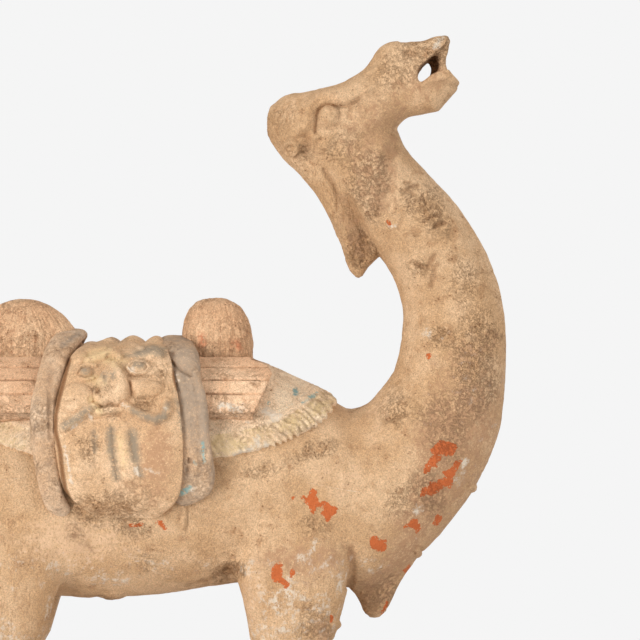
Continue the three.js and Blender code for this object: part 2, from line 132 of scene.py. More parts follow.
# Outlines of the mask's plates, as x, z in the side view.
NOSE = [
    -65.8, 351.3, -69.5, 347.5, -73.2, 343.9, -77.2, 337.8, -79.2, 331.1, -78.6, 324.8, -74.5, 321.8,
    -70.5, 321.6, -68, 323, -62.4, 322, -57.6, 324.6, -54.6, 328.2, -55.3, 334.4, -57, 340.5,
    -60.2, 345.5, -63.5, 349.5,
]
BROW = [
    -57.7, 353.9, -53, 355.2, -48.9, 356.4, -43.5, 359.6, -38.8, 361, -33.5, 358.8, -31.8, 355.8,
    -34, 353.6, -43.5, 352.9, -53.6, 352.2,
]
CHEEK = [
    -54.4, 338.6, -50, 339.2, -42, 339.2, -36, 337.8, -32.8, 334.4, -34.6, 329.6, -40, 327, -46, 325.8,
    -51, 326.2, -53.6, 330,
]
LIP = [
    -78.4, 320.2, -74, 320.6, -68.5, 321.6, -62, 321, -57, 321.8, -58.6, 317, -66, 315.6, -74, 315,
    -79.6, 315.4,
]
LID = [
    -56.8, 347.2, -54, 350.4, -49.4, 351.8, -44.8, 350.6, -42.2, 347.4, -44.6, 344, -49.2, 342.8,
    -54, 344, -56.8, 347.2,
]

# Painted shadow in the gaps between the bag and the rolls, as x, z in the side view.
SLIT_SHADOWS = [
    [
        -95, 351.3, -98.8, 336.4, -102.1, 324.3, -103.8, 314.2, -104.1, 304.9, -101, 291.4, -99.6, 278,
        -97.6, 265.9, -94.2, 258.5,
    ],
    [-26.7, 355.3, -25.3, 347.9, -25.7, 339.8, -23.3, 331.7],
]

# Outlines of the orange paint that is left on the near flank, as x, z in the side view.
FLAKES = [
    [
        150.4, 298.6, 154.1, 298.3, 156, 296.7, 159.2, 296.7, 161.7, 292.9, 159.2, 288.5, 156, 287.8,
        152.2, 288.5, 147.8, 285.3, 145.9, 288.5, 142.8, 289.7, 144, 292.9, 146.6, 294.1, 148.5, 297.3,
    ],
    [
        146.6, 289.5, 151, 289, 150.4, 285.3, 147.8, 282.8, 149.1, 279.6, 145.9, 280.2, 144, 279.6,
        142.1, 276.4, 139.6, 274.5, 138.3, 276.4, 139.6, 280.2, 140.9, 283.4, 143.4, 287.2,
    ],
    [
        159.8, 284.7, 164.3, 284.9, 162.4, 280.2, 160.1, 275.8, 157.9, 273.3, 158.2, 268.9, 156, 266.3,
        153.1, 268, 149.1, 264.4, 144, 260.4, 141.5, 262.2, 136.4, 260.4, 136.8, 266.3, 140.2, 267.6,
        143.4, 270.1, 147.8, 271.4, 152.2, 273.3, 154.1, 274.3, 150.4, 275.8, 150.4, 277.7, 154.8, 278.6,
        158.6, 281.5,
    ],
    [
        132, 246.1, 136.4, 246.1, 135.6, 243.6, 138.1, 241, 134.8, 236.4, 132.6, 238.5, 129.7, 241.4,
        124.4, 239.1, 126.3, 242.3, 128.9, 244, 129.2, 245.7,
    ],
    [
        147.8, 250.5, 151.6, 247.4, 150.7, 245.5, 149.1, 241.9, 146.9, 241.4, 145.9, 242.7, 142.4, 241.7,
        144.7, 244.2, 145.9, 246.7,
    ],
    [
        103.6, 234.1, 108, 235.1, 109.9, 233.1, 114.6, 232.2, 114.3, 225.9, 112, 223.6, 107.7, 225.2,
        104.2, 225.9, 102.7, 230.3,
    ],
    [114, 443.4, 116.4, 443.2, 117.6, 440.8, 115.8, 440.4],
    [132, 217, 129.5, 213.2, 127, 210.7, 124.2, 209.4, 125.1, 212, 128.2, 214.5],
    [114.9, 192.4, 116.2, 190.8, 114.3, 186.7, 111.2, 182.9, 111.8, 187.3, 113.7, 191.1],
    [140.2, 354.8, 143.4, 355.5, 144.7, 354.2, 142.1, 351.3, 140.6, 352.3],
    [
        56.6, 260.8, 59.6, 262, 63.5, 261.6, 63.8, 264.9, 66.1, 266.8, 68.7, 265.3, 68.3, 261.6,
        70.5, 258, 75.6, 257.6, 82, 253.7, 82.3, 250.7, 78, 247.7, 76.8, 243.8, 74, 244.6, 74.4, 247.1,
        70.5, 248.9, 72, 252.5, 70.1, 255.2, 68.1, 253.7, 66.5, 249.1, 63.2, 251.1, 63.5, 254.9,
        60.4, 257.1,
    ],
    [50.7, 260.4, 53.2, 262, 55, 260.8, 52.6, 258.8],
    [-56.2, 243.1, -51.7, 243.3, -46.9, 243.8, -45.6, 241.9, -49.3, 241.4, -54.1, 240.2, -55.6, 241.6],
    [-39.2, 245.7, -33.5, 245, -31.7, 242.2, -29.2, 239.2, -32.5, 238.5, -34.1, 241, -37.8, 242.8],
    [
        44.1, 218.3, 46.3, 216.2, 45.9, 210.1, 47.1, 206.5, 51.3, 203.4, 47.7, 200.1, 44.1, 203.4,
        41, 203.8, 38.4, 205.8, 38, 209.5, 39.2, 213.7, 41.9, 216.8,
    ],
    [52, 214.3, 54, 212.5, 53.2, 207.7, 51.3, 207.1, 50.7, 210.7],
    [77.4, 182.8, 79.2, 182.2, 78.6, 177.4, 76.8, 176.8],
]


class Trace(Enum):
    """Marks that the points of a piece carry, each from 0, none, to 1."""

    ORANGE = "orange_paint"
    # White slip, and on the bag one painted highlight.
    SLIP = "white_slip_and_highlight"
    # Soil, and on the bag painted shade in the mask's hollows.
    SOIL_AND_SHADE = "soil"
    GREY = "grey_paint"
    YELLOW = "yellow_paint"
    BLUE = "blue_paint"
    HAIR = "hair"
    # Painted shade, with some dirt, in grooves, gaps, folds and the open mouth.
    HOLLOW = "hollow"
    GROUND = "ground_and_shade_coat"
    WASH = "wash"


# Numbers


def ease(low: float, high: float, value: Array) -> Array:
    """Ease from 0 at low to 1 at high.

    Args:
        low: where the result is 0.
        high: where the result is 1; it may be below low.
        value: the numbers to ease.

    Returns:
        3 u squared minus 2 u cubed of the clamped share u of the way from low to high.
    """
    share = np.clip((value - low) / (high - low), 0, 1)
    return share * share * (3 - 2 * share)


def catmull_rom(rows: Rows, place: Array) -> Array:
    """Read a table of rows between its rows.

    Args:
        rows: the table, one row for each key section.
        place: parameters from 0, the first row, to 1, the last.

    Returns:
        For each parameter the cubic through the four nearest rows, column by column.
    """
    table = np.asarray(rows, dtype=float)
    last = len(table) - 1
    spot = np.clip(place, 0, 1) * last
    index = np.minimum(spot.astype(int), last - 1)
    u = (spot - index)[:, None]
    p0, p1, p2, p3 = (table[np.clip(index + k, 0, last)] for k in (-1, 0, 1, 2))
    bend = 2 * p0 - 5 * p1 + 4 * p2 - p3
    twist = 3 * p1 - p0 - 3 * p2 + p3
    return 0.5 * (2 * p1 + (p2 - p0) * u + bend * u**2 + twist * u**3)


def circle(sides: int) -> Array:
    """Return the angles of that many points round a circle, from 0 on."""
    return np.linspace(0, 2 * pi, sides, endpoint=False)


def rounded(value: Array, squareness: float) -> Array:
    """Return the signed power 2 / squareness of a sine or cosine: a superellipse coordinate."""
    return np.sign(value) * np.abs(value) ** (2 / squareness)


def lattice_value(cell: Array, seed: int) -> Array:
    """Hash whole-number cells.

    Args:
        cell: whole numbers, three to a row.
        seed: tells one noise from another.

    Returns:
        A fixed number from -1 to 1 for each row, from its mixed and folded bits.
    """
    mixed = cell[..., 0] * 73856093 ^ cell[..., 1] * 19349663 ^ cell[..., 2] * 83492791 ^ seed * 961748927
    mixed = (mixed ^ (mixed >> 13)) * 1274126177 & 0x7FFFFFFF
    mixed = (mixed ^ (mixed >> 15)) * 668265263 & 0x7FFFFFFF
    return (mixed >> 7 & 0xFFFF) / 32767.5 - 1


def noise(points: Array, size: float, seed: int = 0, octaves: int = 1) -> Array:
    """Smooth noise over space.

    Args:
        points: places in millimetres.
        size: how far apart the noise takes new values.
        seed: tells one noise from another.
        octaves: how many layers, each half as large and half as high as the one before.

    Returns:
        About -1 to 1: hashed values at the corners of a grid, blended by eased weights.
    """
    total = np.zeros(len(points))
    scale, height, reach = size, 1.0, 0.0
    for octave in range(octaves):
        spot = points / scale + 17.3 * (octave + 1)
        cell = np.floor(spot).astype(np.int64)
        part = spot - cell
        blend = part * part * (3 - 2 * part)
        for corner in product((0, 1), repeat=3):
            weight = np.prod(np.where(corner, blend, 1 - blend), axis=1)
            total += height * weight * lattice_value(cell + np.array(corner), seed + octave)
        reach += height
        scale, height = scale / 2, height / 2
    return total / reach


def pits(points: Array, size: float, radius: float, share: float, seed: int) -> Array:
    """Scattered round pits.

    Args:
        points: places in millimetres.
        size: edge of the cubes that hold one pit each.
        radius: reach of the largest pit.
        share: how many of the cubes hold one, from 0 to 1.
        seed: tells one scatter from another.

    Returns:
        1 in the middle of a pit, 0 outside: one minus the squared distance over the pit's radius.
    """
    spot = points / size
    base = np.floor(spot).astype(np.int64)
    depth = np.zeros(len(points))
    for step in product((-1, 0, 1), repeat=3):
        cell = base + np.array(step)
        jitter = np.stack([lattice_value(cell, seed + k) for k in (1, 2, 3)], axis=1)
        centre = (cell + 0.5 + 0.45 * jitter) * size
        held = lattice_value(cell, seed + 4) * 0.5 + 0.5 < share
        reach = radius * (0.6 + 0.4 * lattice_value(cell, seed + 5))
        gap = np.linalg.norm(points - centre, axis=1) / reach
        depth = np.maximum(depth, np.where(held, np.clip(1 - gap * gap, 0, 1), 0))
    return depth


# Forms in the side view


def seen(points: Array) -> tuple[Array, Array]:
    """Find where points are seen on the middle plane from the camera's place.

    Args:
        points: places; those on the left flank count as their mirror twins.

    Returns:
        X and Z where the line from the camera through each point meets the plane y = 0.
    """
    share = CAMERA_OFF / (CAMERA_OFF - np.abs(points[:, 1]))
    x = VIEW_X + (points[:, 0] - VIEW_X) * share
    z = VIEW_Z + (points[:, 2] - VIEW_Z) * share
    return x, z


def stretches(line: Line) -> Iterator[tuple[float, ...]]:
    """Return the stretches of a line, each as the x and z of its two ends."""
    return zip(line[::2], line[1::2], line[2::2], line[3::2])


def line_distance(x: Array, z: Array, through: Line) -> Array:
    """Distance to a line of points in the XZ plane.

    Args:
        x: places along X.
        z: places along Z.
        through: the corners of the line.

    Returns:
        The least distance to any of its stretches.
    """
    nearest = np.full(np.shape(x), FAR_OFF)
    for ax, az, bx, bz in stretches(through):
        run_x, run_z = bx - ax, bz - az
        size = max(run_x**2 + run_z**2, 1e-9)
        share = np.clip(((x - ax) * run_x + (z - az) * run_z) / size, 0, 1)
        nearest = np.minimum(nearest, np.hypot(x - ax - share * run_x, z - az - share * run_z))
    return nearest


@dataclass(frozen=True)
class Stroke:
    """A ridge, or with a negative height a groove, along a line of the side view."""

    through: Line
    radius: float
    height: float
    power: float = 1.2

    def at(self, x: Array, z: Array) -> Array:
        """Height at points of the side view: one minus the squared gap, raised to the power."""
        gap = line_distance(x, z, self.through) / self.radius
        return self.height * np.clip(1 - gap * gap, 0, 1) ** self.power


@dataclass(frozen=True)
class Dome:
    """An oval swelling, or with a negative height a hollow, in the side view."""

    x: float
    z: float
    rx: float
    rz: float
    height: float
    power: float = 1.0
    tilt: float = 0.0

    def at(self, x: Array, z: Array) -> Array:
        """Height at points of the side view.

        Args:
            x: places along X.
            z: places along Z.

        Returns:
            The height times one minus the squared share of the tilted radii, raised to the power.
        """
        turn = radians(self.tilt)
        along = (x - self.x) * cos(turn) + (z - self.z) * sin(turn)
        over = (z - self.z) * cos(turn) - (x - self.x) * sin(turn)
        gap = np.hypot(along / self.rx, over / self.rz)
        return self.height * np.clip(1 - gap * gap, 0, 1) ** self.power


@dataclass(frozen=True)
class Block:
    """A raised plate with a bevelled rim, over an outline of the side view."""

    outline: Line
    height: float
    bevel: float

    def at(self, x: Array, z: Array) -> Array:
        """Height at points of the side view: a quarter circle over the gap inside the outline."""
        share = np.clip(1 + outline_gap(x, z, self.outline) / self.bevel, 0, 1)
        return self.height * np.sqrt(1 - share * share)


Form = Stroke | Dome | Block


def relief(forms: Sequence[Form], x: Array, z: Array) -> Array:
    """Sum of forms: the highest ridge or swelling and the deepest groove at each point.

    Args:
        forms: ridges, grooves, swellings, hollows and plates.
        x: places along X.
        z: places along Z.

    Returns:
        The height in millimetres. Overlapping ridges don't pile up.
    """
    rise = np.zeros(np.shape(x))
    fall = np.zeros(np.shape(x))
    for form in forms:
        height = form.at(x, z)
        rise = np.maximum(rise, height)
        fall = np.minimum(fall, height)
    return rise + fall


def groove_shade(forms: Sequence[Form], strength: float, x: Array, z: Array) -> Array:
    """Painted shade of the bag and the rolls in grooves and in the gaps between them.

    Args:
        forms: the piece's own forms, of which the grooves count.
        strength: the darkness of a groove a millimetre deep.
        x: places along X.
        z: places along Z.

    Returns:
        The depth of the grooves times the strength, cut at 0.8, or the painted shadow of a gap.
    """
    grooves = [form for form in forms if form.height < 0]
    gaps = [Stroke(slit, 1.9, 1.1, 0.7) for slit in SLIT_SHADOWS]
    return np.maximum(np.clip(-strength * relief(grooves, x, z), 0, 0.8), relief(gaps, x, z))


def outline_gap(x: Array, z: Array, corners: Line) -> Array:
    """Distance to a closed outline in the XZ plane.

    Args:
        x: places along X.
        z: places along Z.
        corners: the outline's corners in order.

    Returns:
        The distance to its nearest side, below zero inside, by counting crossed sides.
    """
    ring = [*corners, *corners[:2]]
    gap = line_distance(x, z, ring)
    inside = np.zeros(np.shape(x), dtype=bool)
    for ax, az, bx, bz in stretches(ring):
        crossing = (az > z) != (bz > z)
        reach = ax + (z - az) / (bz - az if bz != az else 1e-9) * (bx - ax)
        inside ^= crossing & (x < reach)
    return np.where(inside, -gap, gap)


def painted(gaps: Sequence[Array], soft: float) -> Array:
    """Return paint by the distances outside its edges: one half on an edge, 0 at the distance soft."""
    return np.clip(0.5 - 0.5 * np.minimum.reduce(gaps) / soft, 0, 1)


def patches(x: Array, z: Array, spots: Rows, soft: float) -> Array:
    """Return paint that lies in strokes, each given as x, z, x, z and radius."""
    return painted([line_distance(x, z, ends) - radius for *ends, radius in spots], soft)


def flakes(x: Array, z: Array, outlines: Sequence[Line], soft: float = 3) -> Array:
    """Return paint that is left inside outlines."""
    return painted([outline_gap(x, z, corners) for corners in outlines], soft)


def oval(x: float, z: float, rx: float, rz: float, lag: float = 0.0) -> Line:
    """Return 17 points round an oval of the side view, whose X lags behind its Z by an angle."""
    turn = np.linspace(0, 2 * pi, 17)
    return np.column_stack([x + rx * np.cos(turn - lag), z + rz * np.sin(turn)]).ravel()


# Carving and marks, all in the side view

# The fold over the camel's eye.
EYE_FOLD = [
    67.3, 501.4, 67.9, 508.2, 68.4, 512.2, 69.7, 516.7, 73.8, 520, 79.4, 519.2, 84.8, 519.4, 90.8, 520.6,
    96.2, 523.3,
]

# Eye, ear, brow, cheek, nostril and lips, and the edges of the mane.
FACE = [
    Dome(76.4, 512.4, 6.9, 7.2, 4, 0.55), Stroke(oval(76.3, 512.2, 6.9, 7.4, 0.3), 1.3, -0.9, 0.8),
    Stroke(oval(51.8, 491, 4.4, 4), 1.9, 3.4, 0.7), Dome(51.8, 491, 2.6, 2.4, 2, 0.7),
    Stroke([64.4, 495.6, 67, 497.8, 69.4, 498.6], 1.8, 1.1),
    Stroke([101, 526, 107, 530.5, 113.5, 534.5, 123.4, 537.5], 2.4, 1.1),
    Stroke([104, 519, 112, 522.6, 120, 523.4], 2.6, 0.8), Dome(117, 555, 12, 8, 1.7, 0.9, 24),
    Dome(118, 541, 17, 9, 1.2, 1, 38), Dome(108, 515, 20, 13, 1.2, 1.5, 20),
    Stroke([103, 534.5, 111.7, 540.7, 121.8, 548.8], 1.8, 0.9),
    Stroke([101, 540, 108, 544, 113, 547.5], 1.6, 0.6),
    Stroke([139, 532.6, 147, 535.8, 154, 538], 2.6, 1.2),
    Stroke([127.5, 557.4, 133, 556.6, 137.5, 559.4], 1.7, 1.1), Stroke(EYE_FOLD, 1.4, -2.4, 0.8),
    Stroke([70, 505.6, 73, 504.4, 79, 504.6, 83.5, 507.6], 1.8, -1.2),
    Dome(90.4, 513.4, 2.2, 4.6, -1.4, 0.8, -12), Stroke([98.2, 519.6, 101, 517.4, 101.6, 513.6], 1.3, -1),
    Stroke([71.3, 496.7, 67.9, 493.4, 66.6, 487.3], 1.8, -1.3),
    Dome(61.4, 491.6, 4.4, 7.4, -2.4, 0.9, -12),
    Stroke([60.6, 499.2, 61.6, 494.4, 59.4, 488.6], 1.5, -0.9),
    Stroke([44, 489.8, 48, 485.8, 54.5, 485.2], 1.6, -1),
    Stroke([39.6, 515.2, 48.4, 518.6, 55.8, 521.8, 60.5, 523.4], 1.4, -1),
    Stroke([44.5, 513.6, 50.4, 515.6, 55, 515.4], 1.3, -0.7), Stroke([40, 508, 43, 500], 1.8, -0.6),
    Dome(130.6, 553.8, 6.4, 3.2, -2.6, 1, 8), Dome(121.7, 542, 2.2, 2.6, -1.4),
    Dome(126.8, 533.2, 3.4, 1.8, -1.1), Stroke([137, 530.6, 146, 533.6, 155, 533, 161, 532], 2, -1),
    Stroke([123.6, 560.4, 129, 560.2, 133.7, 559], 1.1, -0.8),
    Stroke([150.8, 564, 148.8, 560.7, 147.2, 558.4, 146.9, 556.2], 1.1, -0.8),
    Stroke([136, 543, 141, 548.6, 147, 554.4, 155, 562], 4, -1.1, 1), Dome(103, 528, 6, 3.6, -0.7, 1, 20),
    Dome(95.5, 494.7, 2, 2.6, -1.2), Dome(92, 489, 3.4, 8, -0.8),
    Stroke([102.5, 516, 104.8, 517.2, 105.6, 514.2, 103.8, 512.6], 1.2, -0.8),
    Dome(72.9, 476.7, 1.8, 2, -1.6),
    Stroke([73, 476.7, 79.6, 465.9, 81.7, 459.8, 84.5, 451], 1.8, -2, 0.8),
    Stroke([86.5, 455, 91, 446, 95.8, 436.5, 99.5, 424], 7, -2.4, 0.9),
    Stroke([82.5, 458.3, 84.5, 448.9, 88.5, 438.8, 91, 427], 1.6, -1),
    Stroke([97.3, 442.2, 102, 432, 104, 422.6], 1.7, -1.5),
    Stroke([92.4, 422, 93.1, 414.7, 95.5, 412.6, 100.5, 420], 1.5, -1.8),
    Stroke([85, 453, 90, 443, 96, 430], 3.4, 1, 0.9),
    Stroke([101, 441, 104.5, 433.5, 110, 427], 3, 0.9, 0.9),
]

# Outlines of two shallow scrapes: on the breast over the foreleg, and on the foreleg.
BREAST_SCRAPE = [
    29.8, 225, 43.3, 228.4, 60, 233, 82, 231, 91, 222, 89, 205, 70, 206, 62.8, 206.2, 54, 203.5,
    45, 204, 36, 208, 31, 215,
]
LEG_SCRAPE = [54, 203, 63, 205.4, 66, 196, 63, 184, 58, 175, 50, 176, 52, 190]

# Chips, scrapes and cracks in the neck and flank.
SCARS = [
    Stroke([133.5, 414.7, 140.3, 412, 143, 414.7, 146.3, 420.1], 2.3, -2.1, 1),
    Stroke([140.3, 412, 144.3, 412.7, 148.3, 414.2], 1.7, -1.5),
    Stroke([145.6, 412, 145.6, 406.6, 143, 400.5], 2.3, -1.8, 1), Dome(138.5, 408, 4, 3, 0.9),
    Dome(150, 408, 4, 4.5, 0.8), Stroke([126.8, 467.9, 130.8, 467.6], 1.6, -1.6),
    Stroke([130.2, 464.9, 134.9, 466.2], 1.7, -1.9),
    Stroke([125.4, 462.5, 130.8, 462.6, 132, 460.5], 1.6, -1.5),
    Stroke([138.5, 459.5, 140, 454], 1.7, -1.3),
    Stroke([146.3, 439.2, 149, 440.3, 153, 441.6], 2.1, -2.4),
    Stroke([144, 444.5, 150, 446.5], 1.5, -1.1), Dome(158, 434, 3.4, 5.4, -1.2, 0.8, 25),
    Stroke([128.8, 457.8, 128.1, 454.4, 126.1, 450.4, 122.7, 448.4], 1.4, -1.1),
    Stroke([124.8, 447, 123.4, 441, 122.1, 436.2], 1.4, -1.1),
    Stroke([126.8, 432.2, 130.2, 434.2, 135.5, 433.6], 1.5, -1.1),
    Stroke([117.5, 490, 113.5, 466, 109, 452], 7, -1.6, 1),
    Stroke([115.3, 453, 111.3, 449, 107.3, 445.7], 1.8, -1.6), Dome(99, 468, 10, 17, 0.9, 1, 10),
    Dome(128, 448, 10, 12, 1, 1, 40), Stroke([169.6, 407.2, 180, 409, 189.4, 409.2], 1.3, -1),
    Stroke([184.1, 397.3, 189.4, 390.7], 1.5, -1), Stroke([148, 364, 153, 362.5, 158.4, 365], 2.2, -0.7),
    Dome(136.2, 373.9, 1.6, 2.4, -1), Stroke([126, 326.5, 130.5, 326.2, 136.9, 320.7], 1.5, -1.1),
    Stroke([114.7, 311.9, 120.1, 313.3, 126.8, 314.8], 1.7, -1.7),
    Stroke([109.9, 308.6, 113.5, 310.7], 1.4, -1), Stroke([120.3, 334.5, 123.6, 338.4], 1.2, -1),
    Dome(127, 320, 14, 7, 1.3, 1, 22), Dome(135.5, 225, 3.8, 4.4, -1.5, 0.6),
    Dome(135.5, 224, 2.3, 3.2, 2.8, 0.5), Dome(148, 270, 5, 12, -0.8, 1, -28),
    Dome(171, 267, 2.6, 2.6, 2.2, 0.6), Stroke([91, 227, 92.4, 217, 90.4, 202], 3.4, -1.5, 1),
    Dome(12, 213, 7, 5, -1.6, 1, 25), Stroke([-16, 202.5, -4, 205.5, 14.6, 213.6], 1.7, -1.1),
    Dome(81, 177, 3.6, 3.2, 2.2), Dome(-67, 193.5, 10, 5, 2.4), Dome(-84, 196.5, 9, 4, 1.1),
    Stroke([-90.7, 240, -84.5, 233.8, -82, 228.8, -77.6, 223.8], 1.6, -1.2), Dome(-89, 232, 8, 8, 1),
    Stroke([-95, 250, -86, 246, -78, 247], 3, -1),
    Stroke([-66, 252, -60, 246, -56, 240, -50, 232], 3.2, -1.2), Dome(-70, 252, 30, 7, 2.6, 0.8),
    Stroke([-16.8, 253.5, -16.8, 244.3, -17.5, 238.2], 1.4, -1.3),
    Stroke([-21.5, 252, -22.5, 244, -20.5, 239], 1.8, -0.8), Dome(-19.3, 247, 2.6, 9, 0.9),
    Block(BREAST_SCRAPE, 0.55, 0.9), Block(LEG_SCRAPE, 0.45, 0.9),
]

# Where soil clings to the body: neck, throat, under the fringe and belly.
BODY_SOIL = [
    Dome(103, 474, 22, 22, 0.75, 1, -20), Dome(108, 455, 8, 14, 0.75, 1, -20),
    Dome(142, 452, 26, 15, 0.55, 1, -48), Dome(96, 424, 10, 14, 0.8, 0.8), Dome(90, 494, 20, 18, 0.5, 1),
    Dome(136, 549, 30, 16, 0.42, 0.8, 20), Dome(137, 413, 9, 6, 0.5, 0.8), Dome(60, 490, 9, 9, 0.5, 0.8),
    Dome(46, 512, 14, 12, 0.12, 0.8), Dome(154, 364, 12, 8, 0.75, 0.8), Dome(154, 300, 18, 26, 0.6, 0.8),
    Dome(172, 350, 18, 44, 0.75, 0.8), Dome(166, 400, 12, 22, 0.4, 0.8),
    Dome(140, 264, 18, 16, 0.7, 0.8, -40), Dome(100, 200, 12, 14, 0.3, 0.8),
    Dome(120, 318, 18, 12, 0.5, 0.8), Dome(148, 318, 16, 16, 0.5, 0.8),
    Dome(66, 291, 22, 9, 0.7, 0.8, 20), Dome(34, 280, 20, 9, 0.5, 0.8, 15),
    Dome(126, 256, 14, 18, 0.5, 0.8, -30), Dome(66, 243, 16, 10, 0.4, 0.8),
    Dome(-84, 250, 16, 10, 0.8, 0.8), Dome(-56, 245, 18, 12, 0.8, 0.8, -30),
    Dome(-88, 235, 8, 7, 0.4, 0.8), Dome(-46, 220, 12, 8, 0.35, 0.8), Dome(10, 213, 13, 9, 0.9, 0.8, 25),
    Dome(-67, 193, 14, 6, 0.7, 0.8), Dome(66, 176, 14, 14, 0.5, 0.8), Dome(112, 196, 16, 22, 0.4, 0.8),
]

# Strokes of white slip, as x, z, x, z and radius.
BODY_SLIP = [
    (161.5, 270, 166.5, 284.5, 1), (60, 219, 63, 225, 0.9), (63.5, 222, 68, 231, 1.2),
    (57, 221, 58.5, 216.5, 0.6), (41.3, 197, 41.6, 192.5, 1.1), (73, 192, 73.4, 189.5, 0.9),
    (30.5, 175.2, 36.5, 176.2, 0.3), (141, 368, 141.8, 369.4, 1.4), (116.8, 440.6, 118.6, 439.4, 0.5),
    (133, 251.5, 137, 253.6, 0.6), (151, 564.6, 147.8, 558.8, 1.3),
]

# Outlines of darker ground, and of a fainter film over head and chest that paints shade on the throat.
BARE_GROUND = [
    [
        133, 300, 139, 322, 158, 336, 185, 345, 190, 300, 165, 262, 140, 225, 118, 190, 98, 183, 94, 205,
        112, 228, 124, 250, 130, 275,
    ],
    [30, 225, 43, 228.4, *BREAST_SCRAPE[4:]], [62, 184, 72, 188, 80, 176, 76, 160, 64, 160, 60, 172],
    [-95, 242, -88, 241, -82, 230, -80, 224, -90, 224, -96, 232],
    [84, 458, 92, 446, 100, 438, 104, 424, 96, 418, 90, 432, 84, 446],
]
FILM_AND_THROAT_SHADE = [
    [
        100, 522, 112, 530, 124, 539, 134, 548, 150, 553, 160, 546, 160, 534, 150, 524, 130, 520,
        124, 488, 127, 470, 121, 452, 110, 442, 100, 445, 88, 470, 82, 500, 84, 516,
    ],
    [
        96, 215, 116, 222, 132, 246, 140, 270, 134, 300, 140, 340, 160, 372, 192, 372, 205, 300, 165, 230,
        120, 170, 96, 178,
    ],
]

# Where the body is paler: partly cleaner clay, partly painted light on the sides that face the lamps.
PALER_AND_LIT = [
    Dome(-92, 232, 48, 22, 0.62, 0.8), Dome(28, 205, 10, 30, 0.5, 0.8), Dome(80, 275, 22, 16, 0.4, 0.8),
    Dome(108, 330, 10, 40, 0.35, 0.8), Dome(60, 530, 40, 12, 0.4, 0.8, 20),
]

# The monster mask: ridges, swellings, plates and grooves.
MASK = [
    # Folds under the ridge, brows and the yellow band between them.
    Stroke([-65, 361.4, -59, 363.4, -52, 363.2, -46, 360.4], 1.5, 1.6, 0.8),
    Stroke([-84, 358.5, -78, 360.8, -71, 361.5], 1.6, 1.4, 0.8), Block(BROW, 5.2, 2.8),
    Stroke([-83, 351.6, -73.2, 354.8, -67.8, 357.8, -63.5, 356.8, -62, 354.4], 2.7, 3.4, 0.7),
    Dome(-89, 355.5, 6.5, 5, 2.8, 0.7),
    # Eyeballs in their lids.
    Stroke(LID, 1.2, 2.8, 0.8), Dome(-49.4, 347.2, 5.6, 3.7, 4.8, 0.6, -4),
    Dome(-84, 344, 4.4, 3.2, 4.4, 0.6, 8),
    Stroke([-90.3, 344.5, -87, 348.2, -82.5, 349.6, -77.4, 348.6], 1.4, 2.4, 0.8),
    Stroke([-89.4, 341, -84, 339, -79, 340.4], 1.4, 2, 0.8),
    # Nose, with a sharp rim and a bridge.
    Block(NOSE, 7, 4.2), Stroke([-66.2, 348, -67, 341, -67.6, 333], 5, 1.8, 1),
    Dome(-67.8, 327, 8, 4.8, 7.8, 0.8), Dome(-75.6, 326.2, 3.2, 3.6, 7, 0.8),
    Dome(-58.8, 327.6, 3.4, 4.2, 7.2, 0.8),
    # Cheeks.
    Dome(-90.4, 327.2, 12, 10.4, 6.4, 0.6), Block(CHEEK, 5.2, 8),
    # Lip and moustache.
    Block(LIP, 3.4, 2.2),
    Stroke([-78.4, 321, -83.9, 317.4, -88.7, 313.8, -93.4, 310, -99, 306.6], 3.5, 5.2, 0.6),
    Stroke([-58, 321.2, -53.6, 318.2, -46.2, 314.6, -38.1, 312.2], 4, 5.2, 0.7),
    Stroke([-38.1, 312.2, -32.6, 313.8, -30, 318.5, -31, 324], 3.6, 4.8, 0.7),
    # Jowls and locks of the beard.
    Dome(-89.5, 288, 13, 26, 1.8, 1), Dome(-35.5, 288, 14, 29, 2.2, 1),
    Stroke([-59.6, 309, -58, 292, -54.6, 274], 4, 1.3, 0.7),
    Stroke([-71.8, 309, -71, 290, -67.4, 274], 4.4, 0.8, 0.8),
    # Grooves and hollows.
    Dome(-75.9, 331.2, 2.3, 2.8, -3.2, 0.7), Stroke([-71.2, 342, -71, 337.6], 1.2, -1),
    Dome(-65.6, 333, 1.9, 2.6, -1, 0.8), Stroke([-55.8, 341.6, -50, 340.3, -39.5, 341.6], 1.5, -1.2),
    Dome(-78.8, 342.4, 1.6, 2.4, -1), Dome(-66, 353.4, 1.9, 1.4, -1.2),
    Dome(-44.2, 321.9, 7.6, 2.5, -1.8, 0.8, -6), Dome(-35.5, 339.4, 2, 1.6, -0.9),
    Stroke([-36.8, 349, -33, 345, -30, 339.5, -28, 332], 1.2, -1),
    Stroke([-38, 344, -34.6, 340.6, -32, 335], 1.1, -0.9),
    Stroke([-33.4, 352, -29.6, 346, -27.4, 338], 1.1, -0.9), Dome(-81.4, 325, 1.8, 2.4, -1),
    Stroke([-56.6, 340.5, -54.9, 334.4, -54.4, 327.6], 1.2, -0.5),
    Stroke([-78.9, 323.8, -74.5, 320.9, -70.5, 320.7, -68.2, 322.4, -62.4, 321.2], 1.2, -1.4),
    Stroke([-78.6, 313.3, -70.5, 314.7, -61, 315.4], 1.2, -1.3),
    Stroke([-78.1, 305, -77.7, 288], 1, -0.5),
    Stroke([-66, 306, -65.3, 291, -63.9, 278, -61.9, 269, -60.6, 266], 1.4, -0.8, 0.8),
    Stroke([-54.2, 303, -51.6, 292, -49.8, 282], 2.4, -0.6, 0.8),
    Stroke([-49.8, 283, -47.1, 273], 1.1, -0.7), Stroke([-29.5, 349, -27.5, 338, -24.5, 326], 1.4, -1.2),
    Dome(-81, 290.5, 2.4, 3.4, -1.4), Dome(-76, 281, 3.4, 2.4, -0.9),
]

